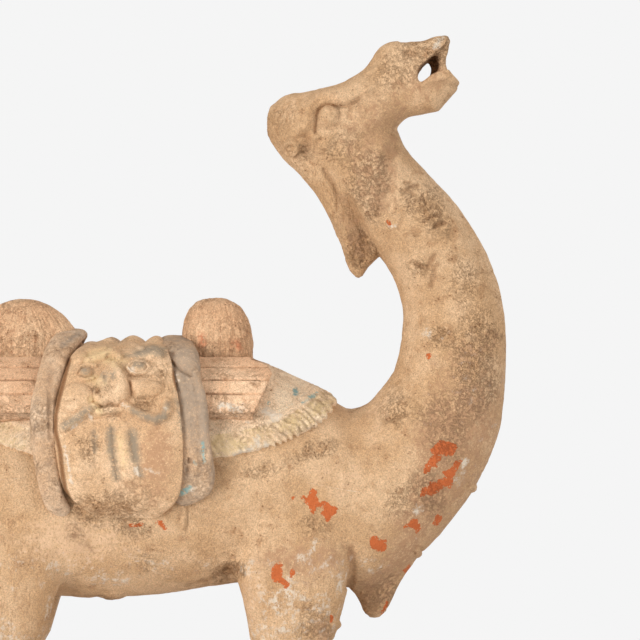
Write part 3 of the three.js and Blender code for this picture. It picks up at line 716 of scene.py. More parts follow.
# Paint and slip on the mask in strokes, as x, z, x, z and radius.
MASK_GREY = [
    (-56, 353.6, -47, 355.2, 1), (-50, 355.4, -40, 358.2, 2.8), (-40, 358.4, -34, 356.4, 3.4),
    (-51.5, 347.8, -47.4, 347.8, 2.4), (-85, 344.2, -82.4, 343.6, 2), (-71.6, 341.4, -71.4, 338.6, 1.7),
    (-66, 342, -66.2, 340, 1.4), (-98, 307.4, -92, 311, 2.4), (-92, 311.2, -82, 318.6, 2.3),
    (-53, 317.6, -46.2, 314.4, 1.8), (-46.2, 314.2, -38, 311.8, 2.3), (-38, 312, -32.6, 313.6, 3),
    (-32.6, 313.6, -30.2, 321, 2), (-67.4, 305, -67, 291, 2.6), (-67, 291, -63.6, 274, 2),
    (-53.6, 302, -51, 285, 3.2), (-51, 285, -47.6, 275, 1.3), (-78.4, 304, -78, 290, 0.9),
    (-24.5, 329, -20, 306, 0.6), (-30, 362, -18, 358, 2.4),
]
MASK_YELLOW = [
    (-82, 352.6, -70, 356.4, 1.6), (-70, 352, -60, 350, 1.6), (-80.5, 339, -74, 337, 1.2),
    (-80, 324, -76, 318, 1.4), (-62, 300, -59, 284, 0.5),
]
# White slip; the first stroke is a painted highlight along the lit rear edge of the bag.
MASK_SLIP_AND_HIGHLIGHT = [
    (-97.6, 294, -93.6, 271, 0.6), (-45, 279, -36, 277, 0.6), (-55, 345.8, -52, 343.6, 0.8),
    (-93.5, 306.2, -86, 311.5, 0.4), (-82, 315, -80.4, 313.4, 0.5), (-31.5, 320, -29.4, 317.6, 0.4),
    (-59, 322, -56, 320.4, 0.4), (-52, 280, -50, 276, 0.7),
]

# Soil and darker ground on the bag; the soil also stands for painted shade in the mask's hollows.
MASK_SOIL_AND_SHADE = [
    Dome(-72, 254, 34, 12, 0.8, 0.9), Dome(-81, 292, 9, 12, 0.6, 0.9), Dome(-76, 331, 3.4, 4.4, 0.9, 0.6),
    Dome(-68, 335, 6, 6, 0.35, 0.7), Dome(-44, 322, 10, 5, 0.6, 0.7), Dome(-66, 354, 5, 3, 0.7, 0.5),
    Dome(-50, 262, 16, 12, 0.4, 0.8), Dome(-72, 318, 12, 4, 0.6, 0.7), Dome(-34, 341, 5, 6, 0.5, 0.7),
    Dome(-48, 341, 10, 2.4, 0.8, 0.6), Dome(-62, 366, 8, 3, 0.6, 0.6),
]
MASK_STAIN = [
    Dome(-37, 284, 15, 34, 0.85, 0.7), Dome(-52, 266, 20, 12, 0.5, 0.8), Dome(-52, 335, 26, 12, 0.25),
]

# Knot, folds and pits of both rolls.
FOLDS = [
    Dome(-17.8, 351, 8.4, 8.6, 2, 0.6),
    Stroke([-22, 341, -19.4, 327, -16, 308, -13, 290, -13, 272], 4, 0.9, 1),
    Stroke([-6, 333, -5, 315, -3.5, 296, -2.6, 280], 2.6, 0.5),
    Stroke([-27, 349.8, -20.6, 344.2, -14.4, 341.6], 1.6, -2, 0.8),
    Stroke([-11.5, 338, -10, 318, -8.5, 300, -8, 284], 2.2, -0.5),
    Dome(-15.8, 284.7, 1.8, 2.6, -2.6, 0.7), Dome(-16.8, 279, 1.6, 3.6, -1.4),
    Stroke([-98.9, 361.2, -94, 364, -88.7, 368.1], 2.2, -0.8),
    Stroke([-101, 352, -96, 346.5, -94.6, 340], 2.4, 0.9),
    Stroke([-106, 345, -108, 320, -107, 300], 2.2, -1),
]

# Paint and slip on the other pieces in strokes, as x, z, x, z and radius.
BOARD_SLIP = [(8, 322, 20, 320, 2)]
ROLL_GREY = [(-99.4, 360.9, -88.7, 368.4, 1.7), (-8.4, 345, -12, 352, 2)]
ROLL_BLUE = [(-20.5, 263, -15.5, 267.2, 1.6), (-7, 296, -5.5, 284, 0.9), (-12, 285, -11.6, 282, 0.6)]
ROLL_SLIP = [(-14.6, 265.4, -12, 267, 0.6), (-23.6, 341, -22.6, 337, 0.8)]
HUMP_ORANGE = [(-8, 367, -7, 362, 1.6), (15, 362, 17, 359, 1.4), (2, 345, 4, 349, 1.2)]
CLOTH_BLUE = [
    (52.7, 328, 52.8, 325.6, 1.3), (15.6, 313, 18.6, 312.6, 0.9), (36, 320.7, 36.2, 320, 0.8),
    (62.8, 332.6, 63.2, 331.6, 0.9), (44, 341, 46, 340.2, 0.9), (6.4, 313.2, 6.9, 312.8, 0.5),
    (57.4, 319.6, 69.5, 327.6, 0.7), (-112, 316, -108, 312, 1.2),
]
CLOTH_SLIP = [
    (32, 316, 42, 311, 1.8), (15, 288.4, 25, 292.6, 1.5), (21.6, 309.2, 21.8, 309, 0.6),
    (29, 300, 30, 294, 1.4), (34, 297, 36, 293, 1),
]
CLOTH_YELLOW = [
    (2, 301, 12, 300, 4), (12, 300, 26, 303, 3.4), (3, 292, 24, 295, 3), (53, 309, 74, 320, 5),
]


# Surfaces


@dataclass
class Surface:
    """A closed mesh of triangles in millimetres, with the marks that its points carry."""

    points: Array
    faces: Array
    traces: dict[Trace, Array] = field(default_factory=dict)

    def __post_init__(self) -> None:
        """Turn the faces outwards, by the sign of the enclosed volume."""
        a, b, c = (self.points[self.faces[:, k]] for k in range(3))
        if np.einsum("ij,ij->", a, np.cross(b, c)) < 0:
            self.faces = self.faces[:, ::-1]

    def normals(self) -> Array:
        """Work out the points' normals.

        Returns:
            Unit vectors along the sum of the neighbouring faces' cross products.
        """
        a, b, c = (self.points[self.faces[:, k]] for k in range(3))
        cross = np.cross(b - a, c - a)
        total = np.zeros_like(self.points)
        for corner, axis in product(range(3), range(3)):
            total[:, axis] += np.bincount(self.faces[:, corner], cross[:, axis], len(self.points))
        return total / np.maximum(np.linalg.norm(total, axis=1, keepdims=True), 1e-9)

    def swell(self, height: Array) -> None:
        """Move the points along their normals by a height in millimetres."""
        self.points = self.points + self.normals() * height[:, None]

    def mesh(self, name: str) -> bpy.types.Mesh:
        """Make a Blender mesh of it in metres.

        Args:
            name: the mesh's name.

        Returns:
            A smooth-shaded mesh with a point attribute for each trace.
        """
        made = bpy.data.meshes.new(name)
        made.vertices.add(len(self.points))
        made.vertices.foreach_set("co", (self.points * MM).astype(np.float32).ravel())
        made.loops.add(self.faces.size)
        made.loops.foreach_set("vertex_index", self.faces.astype(np.int32).ravel())
        made.polygons.add(len(self.faces))
        made.polygons.foreach_set("loop_start", np.arange(0, self.faces.size, 3, dtype=np.int32))
        made.polygons.foreach_set("use_smooth", np.ones(len(self.faces), dtype=bool))
        made.update(calc_edges=True)
        for trace, amount in self.traces.items():
            layer = made.attributes.new(trace.value, "FLOAT", "POINT")
            layer.data.foreach_set("value", amount.astype(np.float32))
        return made


def skin(rings: Array) -> Surface:
    """Close a row of rings into a solid.

    Args:
        rings: places by ring, point round the ring and axis.

    Returns:
        Two triangles between each four neighbours, and a fan to the mean point at both ends.
    """
    count, sides, _ = rings.shape
    ring, side = np.meshgrid(np.arange(count - 1), np.arange(sides), indexing="ij")
    a = ring * sides + side
    b = ring * sides + (side + 1) % sides
    walls = [np.stack([a, b, b + sides], -1), np.stack([a, b + sides, a + sides], -1)]
    here = np.arange(sides)
    onward = (here + 1) % sides
    far = (count - 1) * sides
    middle = count * sides
    caps = [
        np.stack([onward, here, np.full(sides, middle)], -1),
        np.stack([far + here, far + onward, np.full(sides, middle + 1)], -1),
    ]
    points = np.concatenate([rings.reshape(-1, 3), rings[:1].mean(axis=1), rings[-1:].mean(axis=1)])
    return Surface(points, np.concatenate([w.reshape(-1, 3) for w in walls] + caps))


def joined(parts: Sequence[Surface]) -> Surface:
    """Lay several surfaces into one mesh.

    Args:
        parts: the surfaces, without marks.

    Returns:
        Their points and triangles, one part after the other.
    """
    starts = np.cumsum([0] + [len(part.points) for part in parts[:-1]])
    faces = [part.faces + start for part, start in zip(parts, starts)]
    return Surface(np.concatenate([part.points for part in parts]), np.concatenate(faces))


@dataclass(frozen=True)
class Loft:
    """A body over section rows, with superellipse sections about the line y."""

    rows: Rows
    squareness: float = 2.0
    y: float = 0.0

    def rings(self, place: Array, angle: Array) -> Array:
        """Work out its surface.

        Args:
            place: parameters along the body, from 0 to 1.
            angle: angles round a section, 0 at its first point.

        Returns:
            Places by section, angle and axis: the middle of the row plus its half chord times the
            rounded cosine, and its half width times the rounded sine.
        """
        row = catmull_rom(self.rows, place)
        centre = (row[:, 0:2] + row[:, 2:4]) / 2
        chord = (row[:, 0:2] - row[:, 2:4]) / 2
        along = rounded(np.cos(angle), self.squareness)
        x = centre[:, 0, None] + chord[:, 0, None] * along
        y = self.y + row[:, 4, None] * rounded(np.sin(angle), self.squareness)
        z = centre[:, 1, None] + chord[:, 1, None] * along
        return np.stack([x, y, z], axis=-1)

    def solid(self, steps: int, sides: int) -> Surface:
        """Close it into a solid of that many steps along it and sides round it."""
        angle = circle(sides)
        return skin(self.rings(np.linspace(0, 1, steps + 1), angle))


@dataclass(frozen=True)
class Drape:
    """A cloth that hangs over the back, by rows of y, z, rear x and front x down one flank."""

    rows: Rows

    def row_at(self, share: Array) -> Array:
        """Find the cloth's row.

        Args:
            share: how far down a flank, from -1 at the left hem over 0 on the ridge to 1.

        Returns:
            The rows there, with y given the sign of the share.
        """
        row = catmull_rom(self.rows, np.abs(share))
        row[:, 0] *= np.sign(share)
        return row

    def frames(self, steps: int) -> tuple[Array, Array, Array, Array]:
        """Follow the cloth from the left flank over the ridge to the right.

        Args:
            steps: how many steps lie on each flank.

        Returns:
            The side position, the height, the two ends along X, and the outward normal in YZ.
        """
        spot = np.arange(-steps, steps + 1) / steps
        half_step = 0.5 / steps
        here = self.row_at(spot)
        before = self.row_at(np.maximum(spot - half_step, -1))
        after = self.row_at(np.minimum(spot + half_step, 1))
        normal = np.stack([before[:, 1] - after[:, 1], after[:, 0] - before[:, 0]], axis=1)
        normal /= np.linalg.norm(normal, axis=1, keepdims=True)
        return here[:, 0], here[:, 1], here[:, 2:4], normal


def lifted(x: Array, y: Array, z: Array, normal: Array, out: Array) -> Array:
    """Move a drape's points out along its normals.

    Args:
        x: places along X by step and point.
        y: the side position of each step.
        z: the height of each step.
        normal: the outward normal of each step in YZ.
        out: how far out, by step and point.

    Returns:
        Places by step, point and axis.
    """
    return np.stack([x, y[:, None] + normal[:, :1] * out, z[:, None] + normal[:, 1:] * out], axis=-1)


# Finishes


def srgb(*code: int) -> Colour:
    """Turn a colour into the linear one that a shader takes.

    Args:
        *code: red, green and blue from 0 to 255, as a screen shows them.

    Returns:
        The linear colour, opaque.
    """
    values = [v / 255 for v in code]
    linear = [v / 12.92 if v <= 0.04045 else ((v + 0.055) / 1.055) ** 2.4 for v in values]
    return (*linear, 1)


@dataclass
class Graph:
    """Adds nodes to a node tree, and joins them."""

    tree: Tree

    def put(self, value: Any, socket: Socket) -> None:
        """Give an input its value.

        Args:
            value: a socket to link, or a constant.
            socket: the input.
        """
        if isinstance(value, Socket):
            self.tree.links.new(value, socket)
        else:
            socket.default_value = value

    def add(self, kind: str, inputs: dict[Any, Any], **settings: Any) -> bpy.types.Node:
        """Add a node.

        Args:
            kind: the node's type, without its ShaderNode prefix.
            inputs: constants or sockets by the name or number of the input.
            **settings: the node's own properties.

        Returns:
            The new node.
        """
        node = self.tree.nodes.new("ShaderNode" + kind)
        for name, value in settings.items():
            setattr(node, name, value)
        for name, value in inputs.items():
            self.put(value, node.inputs[name])
        return node

    def math(self, operation: str, *values: Any) -> Socket:
        """Return the result of a math node on constants or sockets."""
        return self.add("Math", dict(enumerate(values)), operation=operation).outputs[0]

    def times(self, value: Any, factor: Any) -> Socket:
        """Return a product."""
        return self.math("MULTIPLY", value, factor)

    def total(self, *terms: tuple[Any, Any]) -> Any:
        """Add up values.

        Args:
            *terms: each value with its factor.

        Returns:
            The sum of the products.
        """
        result = 0
        for value, factor in terms:
            result = self.math("MULTIPLY_ADD", value, factor, result)
        return result

    def ease(self, value: Any, low: Any, high: Any, start: float = 0, end: float = 1) -> Socket:
        """Ease a value by a smoothstep.

        Args:
            value: the value.
            low: where it gives the start.
            high: where it gives the end.
            start: the result at low.
            end: the result at high.

        Returns:
            The eased value, which stays between the start and the end.
        """
        inputs = {"Value": value, "From Min": low, "From Max": high, "To Min": start, "To Max": end}
        return self.add("MapRange", inputs, interpolation_type="SMOOTHSTEP").outputs["Result"]

    def mix(self, share: Any, under: Any, over: Any, blend: str = "MIX") -> Socket:
        """Return two colours mixed by a share from 0 to 1."""
        inputs = {0: share, 6: under, 7: over}  # A and B come once for each data type
        return self.add("Mix", inputs, data_type="RGBA", blend_type=blend).outputs[2]

    def noise(self, vector: Any, size: float, detail: float, rough: float) -> Socket:
        """Return noise from 0 to 1 whose features are that many millimetres apart."""
        inputs = {"Vector": vector, "Scale": 1 / (size * MM), "Detail": detail, "Roughness": rough}
        return self.add("TexNoise", inputs, noise_dimensions="3D").outputs["Fac"]

    def holes(self, vector: Any, size: float, wider: Sequence[Any], edge: float, floor: float) -> Socket:
        """Scatter holes about points that size apart.

        Args:
            vector: the place in metres.
            size: the distance from point to point in millimetres.
            wider: the values that widen the holes, each with its factor.
            edge: the sum of the values and the share of the distance to a point where a hole ends.
            floor: that sum where it has its full depth.

        Returns:
            The depth, from 0 to 1.
        """
        inputs = {"Vector": vector, "Scale": 1 / (size * MM), "Randomness": 1}
        away = self.add("TexVoronoi", inputs).outputs["Distance"]
        return self.ease(self.total((away, 1), *wider), edge, floor)

    def attribute(self, trace: Trace) -> Socket:
        """Return the value of a mark on the points."""
        return self.add("Attribute", {}, attribute_name=trace.value).outputs["Fac"]

    def group(self, tree: Tree, inputs: dict[str, Any]) -> bpy.types.Node:
        """Use a node group.

        Args:
            tree: the group.
            inputs: constants or sockets by the name of the input.

        Returns:
            The node that stands for it.
        """
        node = self.tree.nodes.new("ShaderNodeGroup")
        node.node_tree = tree
        for name, value in inputs.items():
            self.put(value, node.inputs[name])
        return node


def new_material(name: str) -> tuple[Material, Graph, bpy.types.Node]:
    """Start a material.

    Args:
        name: its name.

    Returns:
        The material, its graph and its shader.
    """
    made = bpy.data.materials.new(name)
    made.use_nodes = True
    return made, Graph(made.node_tree), made.node_tree.nodes["Principled BSDF"]


def new_group(name: str, inputs: dict[str, str], outputs: dict[str, str]) -> tuple[Any, Any, Any]:
    """Start a shader node group.

    Args:
        name: the group's name.
        inputs: the kind of each input, Float or Color.
        outputs: the kind of each output.

    Returns:
        The graph of the group, its input node's sockets and its output node's sockets.
    """
    tree = bpy.data.node_groups.new(name, "ShaderNodeTree")
    for way, sockets in (("INPUT", inputs), ("OUTPUT", outputs)):
        for label, kind in sockets.items():
            tree.interface.new_socket(name=label, in_out=way, socket_type="NodeSocket" + kind)
    entry = tree.nodes.new("NodeGroupInput").outputs
    leave = tree.nodes.new("NodeGroupOutput").inputs
    return Graph(tree), entry, leave


def fired_clay_group() -> Tree:
    """Build the tone and grain of old fired clay.

    Returns:
        A group that takes three clay tones, soil and its colour, roughness of the grain and the
        hollows of the relief, which it darkens as painted shade, and gives the colour and the
        height of the grain in millimetres.
    """
    inputs = dict.fromkeys(("Clay", "Pale", "Deep", "Soil Tone"), "Color")
    inputs |= dict.fromkeys(("Soil", "Hollow", "Hair", "Stretch X", "Stretch Z", "Grit"), "Float")
    graph, entry, leave = new_group("fired_clay", inputs, {"Color": "Color", "Height": "Float"})
    here = graph.add("TexCoord", {}).outputs["Object"]
    broad = graph.noise(here, 34, 4, 0.6)
    mid = graph.noise(here, 9, 4, 0.65)
    fine = graph.noise(here, 2.2, 4, 0.7)
    dust = graph.noise(here, 0.9, 2, 0.7)
    flow = graph.add("CombineXYZ", {0: entry["Stretch X"], 1: 1, 2: entry["Stretch Z"]})
    combed = graph.add("VectorMath", {0: here, 1: flow.outputs[0]}, operation="MULTIPLY").outputs[0]
    strand = graph.noise(combed, 1.15, 3, 0.6)
    strand_mark = graph.times(graph.ease(strand, 0.5, 0.66), entry["Hair"])
    soil_mark = graph.ease(graph.total((mid, 0.45), (fine, 0.8), (entry["Soil"], 0.42)), 0.8, 1.04)

    pit_mark = graph.holes(here, 3.1, ((mid, -0.75), (entry["Soil"], -0.09)), -0.255, -0.355)
    speck_mark = graph.holes(here, 1.7, ((fine, -1), (entry["Soil"], -0.1)), -0.46, -0.61)
    crumb = graph.math("ABSOLUTE", graph.math("SUBTRACT", graph.noise(here, 4.6, 5, 0.75), 0.5))
    crack_mark = graph.times(graph.ease(crumb, 0.04, 0), graph.ease(entry["Soil"], 0, 0.6, 0.2))

    dark = graph.mix(1, entry["Soil Tone"], (0.56, 0.48, 0.42, 1), "MULTIPLY")
    # The Hollow input darkens the clay towards a dark soil tone: painted shade, with some dirt.
    layers = (
        (graph.ease(broad, 0.4, 0.66), 1, entry["Pale"]),
        (graph.ease(mid, 0.52, 0.72), 0.75, entry["Deep"]),
        (graph.ease(fine, 0.56, 0.74), 0.55, entry["Deep"]),
        (graph.ease(fine, 0.44, 0.26), 0.7, entry["Pale"]), (strand_mark, 0.75, entry["Deep"]),
        (soil_mark, 0.45, entry["Soil Tone"]), (pit_mark, 0.7, dark), (speck_mark, 0.6, dark),
        (crack_mark, 0.5, entry["Soil Tone"]), (entry["Hollow"], 0.85, dark),
    )
    tone = entry["Clay"]
    for mark, strength, colour in layers:
        tone = graph.mix(graph.times(mark, strength), tone, colour)
    shade = graph.ease(dust, 0.3, 0.7, 0.78, 1.19)
    grey = graph.add("CombineColor", {0: shade, 1: shade, 2: shade}).outputs[0]
    graph.put(graph.mix(1, tone, grey, "MULTIPLY"), leave["Color"])

    grain = graph.times(graph.total((fine, 1.6), (dust, 0.95), (mid, 0.9)), entry["Grit"])
    combing = graph.times(strand, entry["Hair"])
    raised = graph.total((grain, 1), (soil_mark, 0.3))
    sunk = graph.total((pit_mark, 0.5), (speck_mark, 0.4), (crack_mark, 0.7), (combing, 0.9))
    graph.put(graph.math("SUBTRACT", raised, sunk), leave["Height"])
    return graph.tree


def paint_group() -> Tree:
    """Build a worn layer of paint.

    Returns:
        A group that lays a paint over a colour where its amount, made ragged by noise, passes one
        half, and gives the colour and the mask. Soft is how soft its edge is, and Worn how much of
        it has flaked off inside.
    """
    inputs = dict.fromkeys(("Under", "Paint"), "Color")
    inputs |= dict.fromkeys(("Amount", "Ragged", "Soft", "Worn"), "Float")
    graph, entry, leave = new_group("worn_paint", inputs, {"Color": "Color", "Mask": "Float"})
    here = graph.add("TexCoord", {}).outputs["Object"]
    edge = graph.math("SUBTRACT", graph.noise(here, 4.5, 5, 0.62), 0.5)
    flaked = graph.ease(graph.noise(here, 1.7, 3, 0.7), 0.52, 0.66)
    amount = graph.math("MULTIPLY_ADD", edge, entry["Ragged"], entry["Amount"])
    amount = graph.math("SUBTRACT", amount, graph.times(flaked, entry["Worn"]))
    low, high = (graph.math(way, 0.5, entry["Soft"]) for way in ("SUBTRACT", "ADD"))
    mask = graph.ease(amount, low, high)
    graph.put(graph.mix(mask, entry["Under"], entry["Paint"]), leave["Color"])
    graph.put(mask, leave["Mask"])
    return graph.tree


@dataclass(frozen=True)
class Coat:
    """One paint on a finish: its mark, colour, ragged edge, softness and wear."""

    trace: Trace
    colour: Colour
    ragged: float
    soft: float
    worn: float
    raised: float = 0


ORANGE_COAT = Coat(Trace.ORANGE, srgb(198, 104, 57), 0.8, 0.02, 0.3, raised=0.15)
# White slip, also used for one painted highlight on the bag.
SLIP_AND_HIGHLIGHT_COAT = Coat(Trace.SLIP, srgb(222, 204, 182), 1.5, 0.22, 0.5)
GREY_COAT = Coat(Trace.GREY, srgb(152, 134, 112), 1.1, 0.5, 0.5)
YELLOW_COAT = Coat(Trace.YELLOW, srgb(230, 200, 150), 1, 0.5, 0.6)
BLUE_COAT = Coat(Trace.BLUE, srgb(146, 170, 162), 0.9, 0.16, 0.5)
# Darker ground, which on the throat and cheek is partly painted shade.
GROUND_AND_SHADE_COAT = Coat(Trace.GROUND, srgb(184, 142, 107), 1.5, 0.32, 0.7)
# A pale wash, partly painted light.
WASH_AND_LIGHT_COAT = Coat(Trace.WASH, srgb(236, 198, 160), 1.3, 0.5, 0.5)


@dataclass(frozen=True)
class ClayFinish:
    """Old painted pottery: three tones of clay, soil, and the paints left on it."""

    name: str
    clay: Colour
    pale: Colour
    deep: Colour
    soil: Colour
    coats: tuple[Coat, ...] = ()
    roughness: float = 0.93
    specular: float = 0.22
    grit: float = 1
    stretch: tuple[float, float] = (1, 0.12)
    bump: float = 0.8

    def material(self, groups: dict[str, Tree]) -> Material:
        """Make the material.

        Args:
            groups: the shared node groups by name.

        Returns:
            A Principled material whose colour and bump come from the clay and paint groups.
        """
        made, graph, shader = new_material(self.name)
        inputs = {
            "Clay": self.clay, "Pale": self.pale, "Deep": self.deep, "Soil Tone": self.soil,
            "Soil": graph.attribute(Trace.SOIL_AND_SHADE), "Hollow": graph.attribute(Trace.HOLLOW),
            "Hair": graph.attribute(Trace.HAIR), "Grit": self.grit,
            "Stretch X": self.stretch[0], "Stretch Z": self.stretch[1],
        }
        clay = graph.group(groups["fired_clay"], inputs)
        colour = clay.outputs["Color"]
        height = clay.outputs["Height"]
        for coat in self.coats:
            values = {
                "Under": colour, "Paint": coat.colour, "Amount": graph.attribute(coat.trace),
                "Ragged": coat.ragged, "Soft": coat.soft, "Worn": coat.worn,
            }
            layer = graph.group(groups["worn_paint"], values)
            colour = layer.outputs["Color"]
            if coat.raised:
                height = graph.math("MULTIPLY_ADD", layer.outputs["Mask"], coat.raised, height)
        bump = graph.add("Bump", {"Strength": self.bump, "Distance": MM, "Height": height})
        graph.put(colour, shader.inputs["Base Color"])
        graph.put(bump.outputs["Normal"], shader.inputs["Normal"])
        shader.inputs["Roughness"].default_value = self.roughness
        shader.inputs["Specular IOR Level"].default_value = self.specular
        return made


CLAY = srgb(200, 160, 119)
PALE = srgb(218, 181, 142)
DEEP = srgb(172, 129, 90)
# The soil's tone, which the clay group also darkens into painted shade in hollows.
SOIL_AND_SHADE = srgb(164, 120, 80)

BODY_COATS = (WASH_AND_LIGHT_COAT, GROUND_AND_SHADE_COAT, SLIP_AND_HIGHLIGHT_COAT, ORANGE_COAT)
BODY_FINISH = ClayFinish("body_clay", CLAY, PALE, DEEP, SOIL_AND_SHADE, BODY_COATS, stretch=(1, 0.1), bump=0.9)
BAG_FINISH = ClayFinish(
    "mask_clay", srgb(204, 165, 126), srgb(224, 189, 152), srgb(174, 134, 97), SOIL_AND_SHADE,
    (GROUND_AND_SHADE_COAT, YELLOW_COAT, GREY_COAT, SLIP_AND_HIGHLIGHT_COAT), grit=0.6,
)
ROLL_FINISH = ClayFinish(
    "roll_clay", srgb(198, 161, 126), srgb(214, 182, 150), srgb(170, 133, 102), SOIL_AND_SHADE,
    (Coat(Trace.GREY, srgb(166, 145, 124), 0.9, 0.5, 0.4), BLUE_COAT, SLIP_AND_HIGHLIGHT_COAT), grit=0.6,
)
BOARD_FINISH = ClayFinish(
    "board_clay", srgb(222, 177, 139), srgb(234, 195, 158), srgb(192, 145, 108), SOIL_AND_SHADE, (SLIP_AND_HIGHLIGHT_COAT,),
    grit=0.8,
)
HUMP_FINISH = ClayFinish(
    "hump_clay", srgb(208, 165, 127), srgb(222, 184, 146), srgb(170, 124, 90), SOIL_AND_SHADE,
    (Coat(Trace.ORANGE, srgb(208, 132, 94), 1.1, 0.4, 0.5),), grit=0.65, stretch=(1, 0.08),
)
CLOTH_FINISH = ClayFinish(
    "cloth_clay", srgb(230, 196, 160), srgb(238, 211, 178), srgb(204, 165, 128), SOIL_AND_SHADE,
    (YELLOW_COAT, BLUE_COAT, SLIP_AND_HIGHLIGHT_COAT), grit=0.85,
)
SLAB_FINISH = ClayFinish("slab_clay", CLAY, PALE, DEEP, SOIL_AND_SHADE, grit=1.1)


# Pieces


def added(name: str, data: bpy.types.ID) -> Item:
    """Show data in the scene.

    Args:
        name: the new object's name.
        data: a mesh, a light or a camera.

    Returns:
        The object.
    """
    item = bpy.data.objects.new(name, data)
    bpy.context.scene.collection.objects.link(item)
    return item


def as_object(surface: Surface, name: str) -> Item:
    """Return a surface as an object in the scene."""
    return added(name, surface.mesh(name))


def place(surface: Surface, name: str, material: Material) -> Item:
    """Put a finished piece into the scene.

    Args:
        surface: its surface.
        name: the piece's name.
        material: its finish.

    Returns:
        The object, which rides on the figure and stands for its solid.
    """
    piece = as_object(surface, name)
    piece.data.materials.append(material)
    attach(piece, "root")
    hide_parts("pottery_camel")
    log.info("%s: %d faces", name, len(surface.faces))
    return piece


def near_side(points: Array, width: float = 6) -> Array:
    """Return 1 on the camel's right flank and 0 on its left, eased over a width about the middle."""
    return ease(width, -width, points[:, 1])


def strayed(points: Array, reach: float, size: float, seed: int) -> tuple[Array, Array]:
    """Find where points are seen, each led a little astray to make patches ragged.

    Args:
        points: places on the piece.
        reach: how far they stray.
        size: the size of the strays' swings.
        seed: tells one piece's strays from another's.

    Returns:
        X and Z on the middle plane plus noise.
    """
    x, z = seen(points)
    return x + reach * noise(points, size, seed, 3), z + reach * noise(points, size, seed + 50, 3)


def mottled(points: Array, base: float | Array, swing: float, size: float, seed: int) -> Array:
    """Return a base amount plus a swing of noise, cut at 0 and 1."""
    return np.clip(base + swing * noise(points, size, seed, 2), 0, 1)


def weathering(points: Array, seed: int, height: float = 1) -> Array:
    """Lumps and worn spots of hand-pressed clay.

    Args:
        points: places on the piece.
        seed: tells one piece's lumps from another's.
        height: how strong they are.

    Returns:
        Heights in millimetres: broad lumps, smaller lumps and rough grain in scattered areas.
    """
    broad = 0.55 * noise(points, 26, seed, 2)
    small = 0.3 * noise(points, 8, seed + 10, 2)
    rough = ease(-0.1, 0.5, noise(points, 22, seed + 20, 2))
    grain = (0.1 + 0.3 * rough) * noise(points, 3, seed + 30, 2)
    return height * (broad + small + grain)


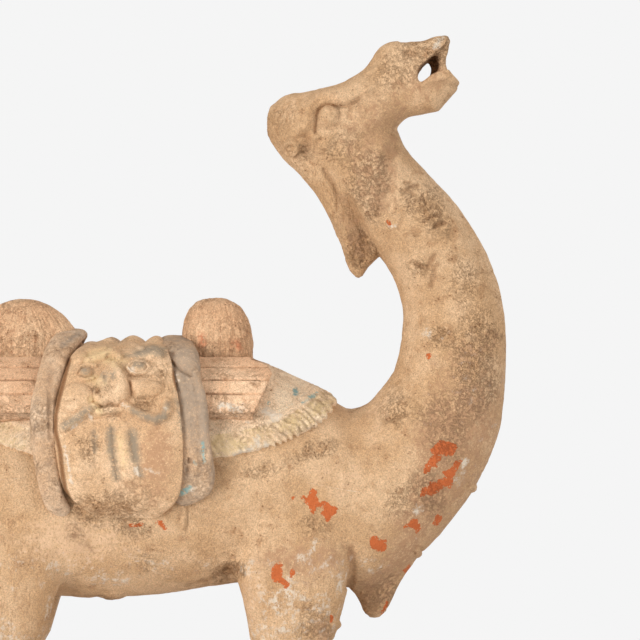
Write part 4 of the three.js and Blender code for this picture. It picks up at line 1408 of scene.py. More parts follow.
@dataclass
class CamelBody:
    """Trunk, neck, head, legs and tail, pressed together from one skin of clay."""

    head_squareness: float = 2.2
    mane_squareness: float = 2.6
    leg_squareness: float = 2.3
    foreleg_y: float = 34
    hindleg_y: float = 36
    head_pivot: float = 82
    head_yaw: float = radians(-6)
    hair_spacing: float = 2.9
    voxel: float = 1.1
    evening: float = 0.5
    even_rounds: int = 4
    blending: float = 0.6
    blend_rounds: int = 70
    mouth: Line = (
        134.6, 532.2, 134.7, 537.4, 136, 541.4, 138.6, 544.6, 141.4, 547, 145.6, 550.6, 149.6, 554.4,
        153.6, 558, 157, 561, 169, 562, 170, 531, 161.2, 534.4, 157.2, 538.2, 155.2, 541.2, 153.6, 542,
        148, 540, 144.3, 538.6, 141.2, 536, 138.4, 533.8,
    )
    palate: Line = (
        148.4, 537, 148.3, 541.5, 148.8, 545.5, 147.6, 548.5, 149, 553, 153, 558.6, 156, 561.6,
        155.2, 557.5, 154.4, 553.5, 153.3, 551, 153, 546.3, 153.8, 542.6, 154.2, 538,
    )
    gullet: Line = (143.6, 534, 143.9, 539.8, 144.4, 543, 142.8, 547, 146, 552, 151, 553, 151, 535)
    crown: Line = (
        43.5, 494.5, 47.5, 496.9, 51.6, 496.9, 57.5, 499.1, 62.8, 502.7, 64.9, 507.4, 64.6, 513.3,
        66.4, 517.4, 70.5, 521.5, 75.2, 523, 82.3, 521.7, 89.9, 521.2, 97, 523.9, 101.1, 525.7, 110, 533,
        121.8, 541, 125, 600, -20, 600, -20, 480, 25, 482,
    )

    def turn_head(self, points: Array, back: bool = False) -> Array:
        """Turn points with the head.

        Args:
            points: places in millimetres.
            back: undo the turn instead.

        Returns:
            The points turned about the upright line through the head's pivot.
        """
        angle = -self.head_yaw if back else self.head_yaw
        x = points[:, 0] - self.head_pivot
        y = points[:, 1]
        turned = np.array(points)
        turned[:, 0] = self.head_pivot + x * cos(angle) - y * sin(angle)
        turned[:, 1] = x * sin(angle) + y * cos(angle)
        return turned

    def side_prism(self, outline: Line, near: float, far: float) -> Surface:
        """Make a prism through Y of an outline in the side view, from near to far."""
        ring = np.insert(np.reshape(outline, (-1, 2)), 1, 0, axis=1)
        return skin(np.stack([ring + [0, y, 0] for y in (near, far)]))

    def head(self) -> Surface:
        """Make the head with its open mouth, turned a little to the camel's right.

        Returns:
            The head's loft less a wedge through both cheeks, with clay left before the gullet.
        """
        loft = Loft(HEAD, self.head_squareness).solid(120, 120)
        loft.points = self.turn_head(loft.points)
        skull = as_object(loft, "skull")
        wedge = as_object(self.side_prism(self.mouth, -45, 45), "wedge")
        cut = skull.modifiers.new("mouth", "BOOLEAN")
        cut.operation = "DIFFERENCE"
        cut.solver = "EXACT"
        cut.object = wedge
        opened = surface_of(skull)
        for item in (skull, wedge):
            bpy.data.objects.remove(item)
        return joined([opened, self.side_prism(self.palate, -12, 4), self.side_prism(self.gullet, -2, 6)])

    def rough_form(self) -> Surface:
        """Lay all the forms of the body into one another.

        Returns:
            Closed surfaces that overlap, in one mesh.
        """
        parts = [
            Loft(TRUNK).solid(90, 90), Loft(NECK).solid(110, 90), self.head(),
            Loft(MANE, self.mane_squareness).solid(60, 40), Loft(CHEST_TUFT).solid(30, 40),
            Loft(TAIL).solid(60, 24),
        ]
        for rows, middle in ((FORELEG, self.foreleg_y), (HINDLEG, self.hindleg_y)):
            for y in (-middle, middle):
                parts.append(Loft(rows, self.leg_squareness, y).solid(110, 56))
        return joined(parts)

    def blend_weight(self, points: Array) -> Array:
        """How far each point is smoothed: more where two forms meet.

        Args:
            points: places on the body.

        Returns:
            A weight from 0 to 1, highest at the shoulders, the groins, the neck's root, the mane's
            edges and the tail's root.
        """
        x, y, z = points.T
        spots = [
            (50, 34, 215, 52), (95, 0, 260, 60), (100, 0, 215, 34), (-140, 36, 225, 58), (75, 0, 470, 34),
            (95, 0, 425, 16), (-184, 0, 300, 16), (95, 0, 490, 26),
        ]
        weight = np.zeros(len(points))
        for sx, sy, sz, reach in spots:
            gap = np.sqrt((x - sx) ** 2 + (np.abs(y) - sy) ** 2 + (z - sz) ** 2) / reach
            weight = np.maximum(weight, ease(1, 0.6, gap))
        return weight

    def look(self, points: Array) -> tuple[Array, Array]:
        """Find where points are seen, both cheeks alike.

        Args:
            points: places on the body.

        Returns:
            X and Z on the middle plane, where points of the left cheek count as their twins on the
            right one, mirrored in the turned head's own middle.
        """
        local = self.turn_head(points, back=True)
        local[:, 1] = -np.abs(local[:, 1])
        twin = np.where(points[:, 2:] > 470, self.turn_head(local), points)
        return seen(twin)

    def face(self, points: Array) -> Array:
        """Heights of the brow, eye, ear, cheek, nostril and lips.

        Args:
            points: places on the body.

        Returns:
            Heights in millimetres, alike on both cheeks.
        """
        x, z = self.look(points)
        gap = -outline_gap(x, z, self.crown)
        step = 3.2 * ease(-1.4, 2.6, gap) * np.exp(-((np.clip(gap, 0, None) / 12) ** 2))
        step -= 0.9 * np.exp(-(((gap + 2.6) / 2.2) ** 2))
        step *= ease(113, 100, x) * ease(43, 56, x)
        return ease(1, 6, np.abs(points[:, 1])) * (relief(FACE, x, z) + step)

    def hair(self, points: Array) -> tuple[Array, Array]:
        """Combed hair on the crown, mane, throat tuft, thighs and tail.

        Args:
            points: places on the body.

        Returns:
            The heights of its strands in millimetres, and how hairy each point is.
        """
        x, y, z = points.T
        crown = Dome(46, 512, 17, 13, 1, 0.6, 30).at(x, z)
        lock = line_distance(x, z, [44, 494, 66, 474, 84, 448, 97, 414])
        mane = ease(19, 11, lock) * ease(20, 12, np.abs(y))
        leg_x = np.where(x > -30, x - 52, x + 142)
        thigh = ease(44, 30, np.abs(leg_x)) * ease(158, 172, z) * ease(262, 226, z)
        thigh *= ease(22, 40, np.abs(y))
        thigh = np.maximum(thigh, Dome(46, 240, 14, 18, 0.7).at(x, z) * ease(22, 40, np.abs(y)))
        tuft = ease(24, 16, line_distance(x, z, [112, 212, 107, 184]))
        tail = ease(-182, -188, x) * ease(312, 296, z)
        amount = np.clip(np.maximum.reduce([0.9 * crown, mane, 0.55 * thigh, 0.5 * tuft, tail]), 0, 1)
        slant = np.where(mane > crown, 0.55 * z + 0.83 * x, x)
        across = np.where(crown > 0.15, z * 0.8 - x * 0.6, slant) + 0.6 * y
        wander = 1.6 * noise(points * [1, 1, 0.35], 9, 71, 2)
        strands = np.sin((across + wander) * 2 * pi / self.hair_spacing)
        strands += 0.5 * np.sin((across * 1.7 + wander) * 2 * pi / 2.3)
        return 0.26 * amount * strands, amount

    def scars(self, points: Array) -> Array:
        """Chips, scrapes and cracks in the neck and flank, deeper on the near side.

        Args:
            points: places on the body.

        Returns:
            Heights in millimetres, below zero in a scar.
        """
        x, z = seen(points)
        deep = 0.35 + 0.65 * near_side(points)
        wander = noise(points, 5, 81, 2)
        return deep * relief(SCARS, x + 1.4 * wander, z + 1.4 * noise(points, 5, 91, 2))

    def soil(self, points: Array) -> Array:
        """Where soil clings: neck, throat, under the fringe, belly and feet.

        Args:
            points: places on the body.

        Returns:
            How much, from 0 to 1.
        """
        x, z = strayed(points, 9, 17, 33)
        feet = 0.7 * ease(50, 12, points[:, 2])
        return mottled(points, np.maximum(relief(BODY_SOIL, x, z), feet), 0.25, 30, 61)

    def paint(self, points: Array) -> dict[Trace, Array]:
        """Orange paint, white slip, bare ground and pale wash on the body, with painted shade and light.

        Args:
            points: places on the body.

        Returns:
            The amounts by mark. Paint and slip are one half at a patch's edge, and the far flank has
            fewer patches of them.
        """
        x, z = seen(points)
        near = near_side(points, 3)
        far_x, far_z = x + 11, z + 8
        amount = near * flakes(x, z, FLAKES) + (1 - near) * flakes(far_x, far_z, FLAKES[::2])
        white = near * patches(x, z, BODY_SLIP, 5) + (1 - near) * patches(far_x, far_z, BODY_SLIP[::2], 5)
        astray = strayed(points, 8, 16, 53)
        coat = 0.7 * flakes(*astray, BARE_GROUND, 8) * (0.4 + 0.6 * near)
        # On the throat and cheek the film is painted shade as well as darker ground.
        coat = np.maximum(coat, 0.5 * flakes(*astray, FILM_AND_THROAT_SHADE, 8))
        # Partly painted light on the sides that face the lamps.
        wash = relief(PALER_AND_LIT, *strayed(points, 6, 14, 57))
        legs = ease(22, 32, np.abs(points[:, 1])) * ease(232, 215, z) * ease(60, 130, z)
        breast = 0.6 * ease(120, 150, x) * ease(400, 350, z)
        white = np.maximum(white, 0.36 * np.maximum(legs, breast) * (0.8 + noise(points, 14, 65, 2)))
        return {Trace.ORANGE: amount, Trace.SLIP: white, Trace.GROUND: coat, Trace.WASH: wash}

    def fused(self) -> Surface:
        """Fuse the forms into one skin of clay.

        Returns:
            The skin, smoothed a little all round and more where two forms meet.
        """
        form = as_object(self.rough_form(), "form")
        fuse = form.modifiers.new("fuse", "REMESH")
        fuse.mode = "VOXEL"
        fuse.voxel_size = self.voxel * MM
        clay = surface_of(form)
        bpy.data.objects.remove(form)
        edges = edges_of(clay.faces)
        even = np.full(len(clay.points), self.evening)
        clay.points = relaxed(clay.points, edges, even, self.even_rounds)
        weight = self.blending * self.blend_weight(clay.points)
        clay.points = relaxed(clay.points, edges, weight, self.blend_rounds)
        return clay

    def carving(self, points: Array) -> Array:
        """All the carving, and the lumps, soil crust and pits over it.

        Args:
            points: places on the body.

        Returns:
            Heights in millimetres, which fade out above the slab.
        """
        rise = self.face(points) + self.scars(points) + self.hair(points)[0]
        mouth = ease(-15, -13, points[:, 1]) * ease(14, 10, points[:, 1])
        crust = np.maximum(self.soil(points), mouth * Dome(151, 550, 7, 16, 1, 0.5).at(*seen(points)))
        lumps = 1.5 * np.abs(noise(points, 6.5, 45, 4)) - 0.3
        rise += weathering(points, 3) + crust**1.5 * lumps
        rise -= 0.8 * pits(points, 9, 1.6, 0.3, 51)
        return rise * ease(-2, 14, points[:, 2])

    def marks(self, points: Array) -> dict[Trace, Array]:
        """Paint, soil, hair and painted shade in the hollows on the body.

        Args:
            points: places on the body.

        Returns:
            The amounts by mark. Painted shade darkens the grooves, and the throat inside the open mouth.
        """
        # Painted shade: the throat inside the open mouth, and the carved grooves by their depth.
        throat = Dome(145.6, 545, 4.4, 9, 0.95, 0.5).at(*seen(points))
        throat *= ease(-15, -13, points[:, 1])
        dark = -0.26 * self.scars(points) - 0.2 * self.face(points)
        return self.paint(points) | {
            Trace.SOIL_AND_SHADE: self.soil(points),
            Trace.HAIR: self.hair(points)[1],
            Trace.HOLLOW: np.clip(np.maximum(dark, throat), 0, 1),
        }

    def build(self, material: Material) -> Item:
        """Make the body: one skin over its forms, carved, thinned and marked.

        Args:
            material: its finish.

        Returns:
            The piece.
        """
        clay = self.fused()
        clay.swell(self.carving(clay.points))
        detail = np.maximum(ease(395, 440, clay.points[:, 2]), 0.6 * near_side(clay.points))
        body = thinned(clay, 1 - 0.8 * detail)
        body.traces = self.marks(body.points)
        return place(body, "camel_body", material)


def surface_of(item: Item) -> Surface:
    """Read an object's mesh back, modifiers included.

    Args:
        item: a working object.

    Returns:
        Its triangles in millimetres.
    """
    depsgraph = bpy.context.evaluated_depsgraph_get()
    mesh = bpy.data.meshes.new_from_object(item.evaluated_get(depsgraph))
    mesh.calc_loop_triangles()
    points = np.empty(3 * len(mesh.vertices), dtype=np.float32)
    mesh.vertices.foreach_get("co", points)
    faces = np.empty(3 * len(mesh.loop_triangles), dtype=np.int32)
    mesh.loop_triangles.foreach_get("vertices", faces)
    bpy.data.meshes.remove(mesh)
    return Surface(points.reshape(-1, 3).astype(float) / MM, faces.reshape(-1, 3).astype(np.int64))


def thinned(surface: Surface, plain: Array) -> Surface:
    """Collapse short edges until a surface has few enough faces.

    Args:
        surface: the surface in full.
        plain: how readily each point goes, from 0 to 1.

    Returns:
        The thinner surface, without marks.
    """
    item = as_object(surface, "full")
    group = item.vertex_groups.new(name="plain")
    for level in range(WEIGHT_STEPS + 1):
        chosen = np.flatnonzero(np.round(plain * WEIGHT_STEPS).astype(int) == level)
        group.add(chosen.tolist(), level / WEIGHT_STEPS, "REPLACE")
    thin = item.modifiers.new("thin", "DECIMATE")
    thin.ratio = min(1, MOST_FACES / len(surface.faces))
    thin.vertex_group = group.name
    result = surface_of(item)
    bpy.data.objects.remove(item)
    return result


def edges_of(faces: Array) -> Array:
    """Return each edge of the triangles once, as pairs of point numbers."""
    pairs = np.concatenate([faces[:, [0, 1]], faces[:, [1, 2]], faces[:, [2, 0]]])
    return pairs[pairs[:, 0] < pairs[:, 1]]


def relaxed(points: Array, edges: Array, weight: Array, rounds: int) -> Array:
    """Smooth points over their neighbours.

    Args:
        points: places in millimetres.
        edges: pairs of neighbours.
        weight: how far each point goes towards its neighbours' mean in a round.
        rounds: how often.

    Returns:
        The moved points.
    """
    first, second = edges.T
    total = len(points)
    count = np.bincount(first, minlength=total) + np.bincount(second, minlength=total)
    for _ in range(rounds):
        sums = [
            np.bincount(first, points[second, k], total) + np.bincount(second, points[first, k], total)
            for k in range(3)
        ]
        mean = np.stack(sums, axis=1) / np.maximum(count, 1)[:, None]
        points = points + weight[:, None] * (mean - points)
    return points


@dataclass(frozen=True)
class HumpSize:
    """One hump: its ends along X, its half width, three heights, its lean and how square it is."""

    rear: float
    front: float
    half_width: float
    foot: float
    shoulder: float
    top: float
    lean: float
    squareness: float

    def rows(self) -> Array:
        """Work out its sections.

        Returns:
            Upright from the foot to the shoulder, then a superellipse to the top, whose middle
            leans along X.
        """
        angle = np.linspace(0, pi / 2, 24)
        width = np.concatenate([[0.95, 0.98], rounded(np.cos(angle), self.squareness)])
        rise = (self.top - self.shoulder) * rounded(np.sin(angle), self.squareness)
        z = np.concatenate([[self.foot, 0.5 * (self.foot + self.shoulder)], self.shoulder + rise])
        width = np.maximum(width, 0.03)
        middle = (self.rear + self.front) / 2 + self.lean * (z - self.foot) / (self.top - self.foot)
        half = (self.front - self.rear) / 2 * width
        return np.column_stack([middle - half, z, middle + half, z, self.half_width * width])


@dataclass
class Humps:
    """The two humps, scored with a comb from the foot to the top."""

    front: HumpSize = HumpSize(-18.5, 27.5, 23, 336, 362, 392, -3, 2.4)
    rear: HumpSize = HumpSize(-168, -82, 26, 332, 341, 391.5, 0, 1.95)
    section_squareness: float = 2.8
    steps: int = 96
    sides: int = 400
    strand: float = 1.6
    depth: float = 0.65

    def hump(self, size: HumpSize, seed: int) -> Surface:
        """Make one hump.

        Args:
            size: its sizes.
            seed: tells its lumps from the other's.

        Returns:
            Its loft with combed furrows: noise over the arc length round the hump, drawn out six
            times as long upwards, that fades near the top.
        """
        place_along = np.linspace(0, 1, self.steps + 1)
        angle = circle(self.sides)
        hump = skin(Loft(size.rows(), self.section_squareness).rings(place_along, angle))
        x, y, z = hump.points.T
        around = np.arctan2(y, x - (size.rear + size.front) / 2)
        reach = (size.front - size.rear + 2 * size.half_width) / 4
        unrolled = np.stack([around * reach, 0 * z, 0.16 * z], axis=1)
        comb = 1.4 * noise(unrolled, self.strand, seed, 2)
        share = (z - size.foot) / (size.top - size.foot)
        fade = ease(1, 0.85, share)
        rise = -self.depth * fade * comb * (0.7 + 0.5 * noise(hump.points, 7, seed + 5))
        rise += 0.3 * noise(hump.points, 2.6, seed + 11, 2)
        rise += weathering(hump.points, seed + 7, 0.65) - 0.6 * pits(hump.points, 8, 1.3, 0.3, seed)
        hump.swell(rise)
        hump.traces = {
            Trace.HAIR: 0.8 * fade,
            Trace.SOIL_AND_SHADE: mottled(hump.points, 0.2, 0.5, 14, seed + 9),
            # Painted shade in the combed furrows, and darker towards the hump's foot.
            Trace.HOLLOW: np.clip(0.5 * (comb - 0.35) * fade, 0, 0.6) + 0.25 * ease(357, 351, z),
        }
        return hump

    def build(self, material: Material) -> list[Item]:
        """Make both humps.

        Args:
            material: their finish.

        Returns:
            The front hump, with its spots of orange, and the rear one.
        """
        front = self.hump(self.front, 5)
        front.traces[Trace.ORANGE] = patches(*seen(front.points), HUMP_ORANGE, 4)
        rear = self.hump(self.rear, 15)
        return [place(front, "front_hump", material), place(rear, "rear_hump", material)]


@dataclass
class MaskBag:
    """The bag over the back, with a monster mask in relief on each flank."""

    columns: int = 180
    steps: int = 430
    rear_drop: float = 14
    front_drop: float = 1.5
    depth: float = 26
    lobe_start: float = -61
    lobe_length: float = 16.5
    lobe_height: float = 4.4

    def lobes(self, x: Array) -> Array:
        """Scallops along the ridge.

        Args:
            x: places along X.

        Returns:
            Heights: the absolute sine of x over a scallop's length, lower behind.
        """
        full = ease(self.lobe_start - self.lobe_length, self.lobe_start, x)
        wave = np.abs(np.sin(pi * (x - self.lobe_start) / self.lobe_length))
        return self.lobe_height * (0.3 + 0.7 * full) * wave

    def surface(self) -> Surface:
        """Work out the bag.

        Returns:
            A closed shell over the back: the outer face is the drape plus the mask's relief along
            its normal, falls away at both edges, and is closed by a plain inner face.
        """
        y, z, ends, normal = Drape(BAG).frames(self.steps)
        middle = ends.mean(axis=1)[:, None]
        half = (ends[:, 1] - ends[:, 0])[:, None] / 2
        u = np.linspace(-1, 1, self.columns)[None, :]
        x = middle + half * (0.66 * u + 0.34 * np.sin(pi / 2 * u))
        flank = ease(12, 30, np.abs(y))[:, None]
        seen_x, seen_z = seen(lifted(x, y, z, normal, 0 * x).reshape(-1, 3))
        uplift = np.repeat(2.4 * normal[:, 1], self.columns)
        carving = 0.82 * relief(MASK, seen_x, seen_z + uplift).reshape(x.shape)
        ridge = ease(26, 12, np.abs(y))[:, None]
        rise = flank * carving + ridge * self.lobes(x)
        drop = np.where(u < 0, self.rear_drop, self.front_drop)
        out = rise * (1 - u**8) - drop * np.abs(u) ** 9
        inner_x = middle + half * np.array([0.9, 0.3, -0.3, -0.9])[None, :]
        inner = lifted(inner_x, y, z, normal, np.full_like(inner_x, -self.depth))
        return skin(np.concatenate([lifted(x, y, z, normal, out), inner], axis=1))

    def marks(self, points: Array) -> dict[Trace, Array]:
        """Paint, soil, and painted shade in the bag's grooves, gaps and hollows.

        Args:
            points: places on the bag.

        Returns:
            The amounts by mark.
        """
        x, z = seen(points)
        flank = ease(20, 34, np.abs(points[:, 1]))
        near = near_side(points)
        # The soil on the mask is partly painted shade in its hollows.
        soil_and_shadow_spots = relief(MASK_SOIL_AND_SHADE, *strayed(points, 5, 10, 39))
        return {
            Trace.GREY: flank * (0.25 + 0.75 * near) * patches(x, z, MASK_GREY, 3),
            Trace.YELLOW: flank * patches(x, z, MASK_YELLOW, 6),
            # Slip, and a painted highlight along the bag's lit rear edge.
            Trace.SLIP: flank * patches(x, z, MASK_SLIP_AND_HIGHLIGHT, 3),
            Trace.SOIL_AND_SHADE: mottled(points, soil_and_shadow_spots, 0.2, 16, 33),
            Trace.HOLLOW: flank * groove_shade(MASK, 0.13, x, z),
            Trace.GROUND: flank * relief(MASK_STAIN, *strayed(points, 6, 12, 43)),
        }

    def build(self, material: Material) -> Item:
        """Make the bag with its lumps, its soil crust and its marks, and thin it.

        Args:
            material: its finish.

        Returns:
            The piece.
        """
        bag = self.surface()
        crust = self.marks(bag.points)[Trace.SOIL_AND_SHADE]
        rise = weathering(bag.points, 23, 0.7) + crust * (np.abs(noise(bag.points, 4.6, 29, 3)) - 0.2)
        rise += 0.12 * noise(bag.points, 1.8, 37, 2)
        rise -= 0.7 * pits(bag.points, 7, 1.2, 0.2, 31) * (0.3 + crust)
        bag.swell(rise)
        bag = thinned(bag, 1 - 0.8 * near_side(bag.points))
        bag.traces = self.marks(bag.points)
        return place(bag, "mask_bag", material)


@dataclass
class Rolls:
    """Two rolls of cloth that hang over the back before and behind the bag."""

    steps: int = 240
    sides: int = 96
    height: float = 4.4
    lift: float = 2
    width_squareness: float = 3
    height_squareness: float = 2.4

    def roll(self, rows: Rows, seed: int, grey: float) -> Surface:
        """Make one roll.

        Args:
            rows: its drape.
            seed: tells its lumps from the other's.
            grey: how much grey paint is left on it.

        Returns:
            A flat band of superellipse section along the drape, with the folds along its normals,
            and rounded at its two lower ends.
        """
        y, z, ends, normal = Drape(rows).frames(self.steps)
        down = np.abs(np.linspace(-1, 1, len(y)))
        tip = np.sqrt(np.clip(1 - ease(0.9, 1.03, down) ** 2, 0.02, 1))
        middle = ends.mean(axis=1)[:, None]
        half = (tip * (ends[:, 1] - ends[:, 0]) / 2)[:, None]
        angle = circle(self.sides)[None, :]
        x = middle + half * rounded(np.cos(angle), self.width_squareness)
        lift = self.lift * ease(0.35, 0.6, down) * ease(1.02, 0.86, down)
        out = self.height * (rounded(np.sin(angle), self.height_squareness) - 1) + lift[:, None]
        tube = skin(lifted(x, y, z, normal, out))
        flank = ease(20, 32, np.abs(tube.points[:, 1]))
        x, z = seen(tube.points)
        wander = noise(tube.points, 7, seed + 9, 2)
        rise = 1.1 * flank * relief(FOLDS, x + 1.2 * wander, z)
        rise += weathering(tube.points, seed, 0.8) + 0.1 * noise(tube.points, 1.9, seed + 12, 2)
        tube.swell(rise)
        tube.traces = self.marks(tube.points, seed, grey)
        # Painted shade in the folds' grooves and in the gaps beside the bag.
        tube.traces[Trace.HOLLOW] = flank * groove_shade(FOLDS, 0.2, *seen(tube.points))
        return tube

    def marks(self, points: Array, seed: int, grey: float) -> dict[Trace, Array]:
        """Paint and soil on a roll.

        Args:
            points: places on the roll.
            seed: tells its patches from the other's.
            grey: how much grey paint is left on it.

        Returns:
            The amounts by mark.
        """
        x, z = seen(points)
        near = near_side(points)
        tone = 0.3 + grey + 0.5 * noise(points * [1, 1, 0.4], 13, seed + 3, 3)
        return {
            Trace.GREY: np.clip(np.maximum(tone, patches(x, z, ROLL_GREY, 2.5)), 0, 1),
            Trace.BLUE: (0.3 + 0.7 * near) * patches(x, z, ROLL_BLUE, 3),
            Trace.SLIP: near * patches(x, z, ROLL_SLIP, 3),
            Trace.SOIL_AND_SHADE: mottled(points, 0.2, 0.45, 12, seed + 6),
        }

    def build(self, material: Material) -> list[Item]:
        """Make both rolls."""
        rolls = ((FRONT_ROLL, 41, 0.25, "front_roll"), (REAR_ROLL, 47, -0.12, "rear_roll"))
        return [place(self.roll(rows, seed, grey), name, material) for rows, seed, grey, name in rolls]


@dataclass
class SaddleBoards:
    """The slatted boards along both sides of the humps."""

    edges: Rows = ((24, 354), (38, 347), (50, 339), (57, 330), (61, 317))
    ends: Rows = ((311, 26), (316, 27), (343, 39.5), (348, 37), (352, 26), (358, 24))
    middle_x: float = -60
    groove: float = 1.5
    groove_depth: float = 1.5
    arch: float = 0.5
    depth: float = 16
    end_share: float = 0.985
    end_rounding: float = 1.2
    length_steps: int = 120
    slat_steps: int = 22

    def profile(self) -> tuple[Array, Array]:
        """Work out the boards' section.

        Returns:
            Points in YZ across the slats, with a narrow groove where two slats meet, and how deep
            in a groove each point is. Each slat is a little arched.
        """
        corners = np.array(self.edges, dtype=float)
        share = np.linspace(0, 1, self.slat_steps, endpoint=False)
        line, dip = [], []
        for first, second in zip(corners, corners[1:]):
            along = second - first
            outward = np.array([-along[1], along[0]]) / np.linalg.norm(along)
            outward = outward if outward[1] > 0 else -outward
            gap = np.minimum(share, 1 - share) * np.linalg.norm(along)
            sunk = ease(self.groove, 0, gap)
            out = self.arch * np.sin(pi * share) - self.groove_depth * sunk
            line.append(first + share[:, None] * along + out[:, None] * outward)
            dip.append(sunk)
        line.append(corners[-1:])
        dip.append([0])
        sunk = np.concatenate(dip)
        sunk[0] = 0
        return np.concatenate(line), sunk

    def board(self, side: int) -> Surface:
        """Make the boards on one flank.

        Args:
            side: -1 for the right flank, 1 for the left.

        Returns:
            The section carried along X between two slanted ends, rounded at its corners.
        """
        line, sunk = self.profile()
        back = line[::-6] - [self.depth, self.depth / 2]
        ring = np.concatenate([line, back])
        end_z, end_x = np.array(self.ends, dtype=float).T
        front = np.interp(ring[:, 1], end_z, end_x)
        u = np.sin(np.linspace(-1, 1, self.length_steps) * pi / 2 * 0.999)
        x = self.middle_x + u[:, None] * (front - self.middle_x)[None, :]
        past = np.clip((np.abs(u) - self.end_share) / (1 - self.end_share), 0, 1)
        inset = self.end_rounding * (1 - np.sqrt(1 - past**2))
        y = side * (ring[:, 0][None, :] - inset[:, None])
        z = ring[:, 1][None, :] - 0.5 * inset[:, None]
        made = skin(np.stack([x, y * np.ones_like(x), z * np.ones_like(x)], axis=-1))
        dark = np.concatenate([sunk, np.zeros(len(back))])[None, :] * np.ones_like(x)
        hollow = np.concatenate([dark.ravel(), [0, 0]])
        made.swell(weathering(made.points, 53 + side, 0.55))
        points = made.points
        low = ease(326, 318, points[:, 2])
        made.traces = {
            # Painted shade, with dirt, in the grooves between the slats.
            Trace.HOLLOW: 0.7 * hollow * ease(-0.9, 0.1, noise(points, 9, 57)),
            Trace.SOIL_AND_SHADE: mottled(points, 0.2 + 0.4 * low, 0.6, 10, 59),
            Trace.SLIP: patches(points[:, 0], points[:, 2], BOARD_SLIP, 5),
        }
        return made

    def build(self, material: Material) -> list[Item]:
        """Make the boards of both flanks."""
        sides = ((-1, "right_boards"), (1, "left_boards"))
        return [place(self.board(side), name, material) for side, name in sides]


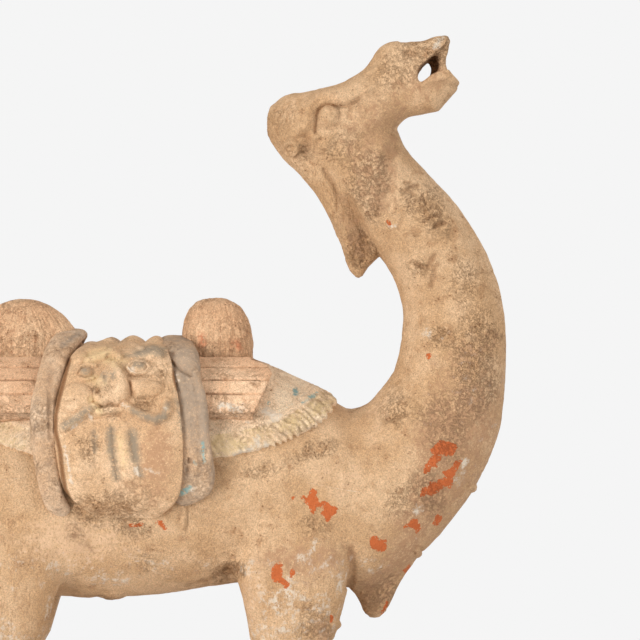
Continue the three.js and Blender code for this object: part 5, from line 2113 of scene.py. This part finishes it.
@dataclass
class SaddleCloth:
    """The oval blanket with its pleated fringe, laid over the trunk."""

    middle_x: float = -60
    centre_z: float = 345
    squareness: float = 2.5
    blanket: Oval = (132, 100, 47, 4.2)
    fringe: Oval = (146, 113, 62, 3.4)
    border: tuple[float, float] = (3.4, 6.2)
    border_width: float = 0.6
    border_depth: float = 0.35
    line_at: float = 4.8
    line_width: float = 1.4
    pleat: float = 4.4
    ripple: float = 2.2
    steps: int = 330
    sides: int = 230
    sunk: float = 5

    def inside(self, x: Array, z: Array, oval: Oval) -> Array:
        """Distance inside an oval of the side view.

        Args:
            x: places along X.
            z: places along Z.
            oval: the blanket's or the fringe's.

        Returns:
            About the distance to the rim, below zero outside: one minus the superellipse radius,
            over the size of its gradient.
        """
        front, rear, drop, _ = oval
        power = self.squareness
        dx = x - self.middle_x
        reach = np.where(dx > 0, front, rear)
        a = np.abs(dx) / reach
        b = np.clip(self.centre_z - z, 0, None) / drop
        radius = np.maximum(a**power + b**power, 1e-6) ** (1 / power)
        slope = radius ** (1 - power) * np.hypot(a ** (power - 1) / reach, b ** (power - 1) / drop)
        return (1 - radius) / np.maximum(slope, 1e-4)

    def rim_length(self, x: Array, z: Array) -> Array:
        """Length along the fringe's rim at the direction of each point.

        Args:
            x: places along X.
            z: places along Z.

        Returns:
            The arc length from the front end, read from a table over the angle.
        """
        front, rear, drop, _ = self.fringe
        angle = np.linspace(0, pi, 721)
        along = rounded(np.cos(angle), self.squareness)
        rim_x = np.where(along > 0, front, rear) * along
        rim_z = drop * rounded(np.sin(angle), self.squareness)
        length = np.concatenate([[0], np.cumsum(np.hypot(np.diff(rim_x), np.diff(rim_z)))])
        bearing = np.arctan2(rim_z, rim_x)
        here = np.arctan2(np.clip(self.centre_z - z, 0, None), x - self.middle_x)
        return np.interp(here, bearing, length)

    def surface(self) -> Surface:
        """Work out the cloth.

        Returns:
            The upper part of the trunk, closed by a chord, raised by the blanket and the fringe
            inside their ovals and sunk into the trunk outside them.
        """
        place_along = np.linspace(0.06, 1, self.steps)
        angle = np.linspace(-0.5 * pi, 0.5 * pi, self.sides)
        base = skin(Loft(TRUNK).rings(place_along, angle))
        x, z = seen(base.points)
        y = base.points[:, 1]
        wander = noise(base.points, 8, 63, 2)
        length = self.rim_length(x, z) + 4.2 * noise(base.points, 12, 67, 3)
        front = ease(20, 50, x)
        in_blanket = self.inside(x, z, self.blanket) + wander
        in_fringe = self.inside(x, z, self.fringe) + wander
        slant = 0.1 * in_fringe
        wave = np.sin(2 * pi * (length / self.pleat + slant))
        in_fringe += (0.4 + 0.6 * front) * self.ripple * wave * noise(base.points, 9, 68)
        lift = -self.sunk + (self.sunk + self.fringe[3] - 1.2) * ease(-0.9, 1, in_fringe)
        lift += 1.2 * ease(0.5, 4.5, in_fringe)
        band = ease(0.5, -1, in_blanket) * ease(-0.5, 2, in_fringe)
        fold = np.abs(np.sin(pi * (length / self.pleat + slant) + 0.25 * pi))
        worn = 0.25 + 0.75 * ease(-0.5, 0.7, noise(base.points, 9, 71, 3) + 0.7 * front)
        lift += band * (worn * (1.3 * (1 - fold**2.5) - 0.7) + 1.1 * noise(base.points, 4.6, 69, 3))
        lift += (self.blanket[3] - self.fringe[3] + 0.3) * ease(-0.9, 0.9, in_blanket)
        border = sum(np.exp(-(((in_blanket - at) / self.border_width) ** 2)) for at in self.border)
        lift -= self.border_depth * border
        lift += weathering(base.points, 73) * ease(-0.6, 1.6, in_fringe)
        base.swell(lift)
        flank = ease(8, 20, np.abs(y)) * (0.35 + 0.65 * near_side(base.points))
        fade = ease(-0.5, 0.5, noise(base.points, 18, 79, 2))
        line = np.exp(-(((in_blanket - self.line_at) / self.line_width) ** 2))
        line *= 0.46 * (0.5 + 0.5 * fade)
        yellow = 0.3 * patches(x, z, CLOTH_YELLOW, 6) + 0.32 + 0.4 * noise(base.points, 9, 83, 3)
        base.traces = {
            Trace.YELLOW: band * np.clip(yellow, 0, 1),
            Trace.BLUE: flank * np.maximum(patches(x, z, CLOTH_BLUE, 3), line),
            Trace.SLIP: near_side(base.points) * patches(x, z, CLOTH_SLIP, 4),
            Trace.SOIL_AND_SHADE: mottled(base.points, 0.15 + 0.25 * band * front, 0.45, 12, 87),
            # Painted shade in the pleats' folds, deeper towards the front, and in the scored border
            # lines.
            Trace.HOLLOW: band * (0.12 + 0.3 * front) * ease(0.75, 1, fold) + 0.2 * border * fade,
        }
        return base

    def build(self, material: Material) -> Item:
        """Make the blanket and its fringe."""
        return place(self.surface(), "saddle_cloth", material)


@dataclass
class Slab:
    """The thin slab under the feet."""

    rear: float = -193
    front: float = 92
    half_width: float = 70
    height: float = 10
    corner: float = 8
    sides: int = 260
    edge: Rows = (
        (60, 0), (30, 0), (8, 0), (1.2, 0), (0.3, 0.4), (0, 1.4), (0, 4), (0.2, 7.6), (0.9, 9.2),
        (2.4, 10),
    )

    def outline(self, inset: float) -> Array:
        """Places round the slab, pulled in by an inset.

        Args:
            inset: how far inside the slab's edge.

        Returns:
            Points in XY: a rectangle from sines cut off at the sides, plus a circle for its corners.
        """
        angle = circle(self.sides)
        middle = (self.rear + self.front) / 2
        turn = np.stack([np.cos(angle), np.sin(angle)], axis=1)
        half = np.array([(self.front - self.rear) / 2, self.half_width]) - inset - self.corner
        return [middle, 0] + np.clip(turn * 1.5, -1, 1) * half + self.corner * turn

    def build(self, material: Material) -> Item:
        """Make the slab: rings from the middle of the underside round the edge to the top's middle.

        Args:
            material: its finish.

        Returns:
            The piece.
        """
        curve = [*self.edge, *((inset, self.height) for inset in np.linspace(5, 60, 40))]
        level = np.ones(self.sides)
        rings = [np.column_stack([self.outline(inset), z * level]) for inset, z in curve]
        slab = skin(np.stack(rings))
        lumps = weathering(slab.points, 93, 0.7) - 0.6
        slab.swell(lumps * ease(0.2, 3, slab.points[:, 2]))
        slab.traces = {Trace.SOIL_AND_SHADE: mottled(slab.points, 0.45, 0.6, 25, 97)}
        return place(slab, "base_slab", material)


# Studio


@dataclass
class Studio:
    """A plain pale floor, soft light and the camera."""

    target: Triple = (VIEW_X * MM, 0, VIEW_Z * MM)
    distance: float = CAMERA_OFF * MM
    picture_width: float = 0.4224
    sensor: float = 36
    aim_height: float = 0.32
    floor_radius: float = 1.5
    floor_tone: Triple = (0.82, 0.82, 0.82)
    backdrop: float = 0.913
    glow: float = 0.43
    lamps: tuple[tuple[str, Triple, float, float], ...] = (
        ("key", (-2.2, -1.6, 1.05), 0.9, 31), ("low", (-1.7, -1.9, 0.2), 1.1, 36),
        ("right", (1.9, -1.7, 0.45), 1.4, 25), ("top", (0.8, -0.5, 2.5), 1.6, 20),
        ("back", (0.9, 2.4, 1), 1.6, 22),
    )

    def camera(self) -> None:
        """Set the camera level before the middle of the picture, as far off as in the photograph."""
        data = bpy.data.cameras.new("camera")
        data.sensor_width = self.sensor
        data.lens = self.sensor * self.distance / self.picture_width
        data.clip_end = 50
        view = added("camera", data)
        view.location = Vector(self.target) - Vector((0, self.distance, 0))
        view.rotation_euler = (pi / 2, 0, 0)
        bpy.context.scene.camera = view

    def lamp(self, name: str, where: Triple, size: float, power: float) -> None:
        """Add a square soft lamp.

        Args:
            name: its name.
            where: its place in metres.
            size: its edge in metres.
            power: its power in watts.
        """
        data = bpy.data.lights.new(name, "AREA")
        data.size = size
        data.energy = power
        lamp = added(name, data)
        lamp.location = where
        aim = Vector((0, 0, self.aim_height)) - Vector(where)
        lamp.rotation_euler = aim.to_track_quat("-Z", "Y").to_euler()

    def floor(self) -> None:
        """Lay a pale round floor that fades out at its rim."""
        angle = circle(96)
        rim = np.stack([np.cos(angle), np.sin(angle), 0 * angle], axis=1) * self.floor_radius
        mesh = bpy.data.meshes.new("floor")
        mesh.from_pydata((rim - [0, 0, 0.0006]).tolist(), [], [list(range(len(rim)))])
        made, graph, shader = new_material("floor")
        shader.inputs["Base Color"].default_value = (*self.floor_tone, 1)
        shader.inputs["Roughness"].default_value = 0.9
        here = graph.add("TexCoord", {}).outputs["Object"]
        radius = graph.add("VectorMath", {0: here}, operation="LENGTH").outputs["Value"]
        graph.put(graph.ease(radius, self.floor_radius, 0.45 * self.floor_radius), shader.inputs["Alpha"])
        mesh.materials.append(made)
        added("floor", mesh)

    def world(self) -> None:
        """Fill the surroundings with pale light, brighter in the backdrop than on the object."""
        made = bpy.data.worlds.new("studio")
        made.use_nodes = True
        graph = Graph(made.node_tree)
        seen = graph.add("LightPath", {}).outputs["Is Camera Ray"]
        strength = graph.math("MULTIPLY_ADD", seen, self.backdrop - self.glow, self.glow)
        shine = made.node_tree.nodes["Background"]
        shine.inputs["Color"].default_value = (1, 1, 1, 1)
        graph.put(strength, shine.inputs["Strength"])
        bpy.context.scene.world = made

    def build(self) -> None:
        """Set up the camera, lamps, floor and surroundings."""
        self.camera()
        for lamp in self.lamps:
            self.lamp(*lamp)
        self.floor()
        self.world()
        bpy.context.scene.view_settings.view_transform = "Standard"


def main() -> None:
    """Build the studio and every piece."""
    logging.basicConfig(level=logging.INFO, format="%(name)s: %(message)s")
    Studio().build()
    groups = {"fired_clay": fired_clay_group(), "worn_paint": paint_group()}
    CamelBody().build(BODY_FINISH.material(groups))
    Humps().build(HUMP_FINISH.material(groups))
    SaddleCloth().build(CLOTH_FINISH.material(groups))
    SaddleBoards().build(BOARD_FINISH.material(groups))
    Rolls().build(ROLL_FINISH.material(groups))
    MaskBag().build(BAG_FINISH.material(groups))
    Slab().build(SLAB_FINISH.material(groups))


if __name__ == "__main__":
    main()
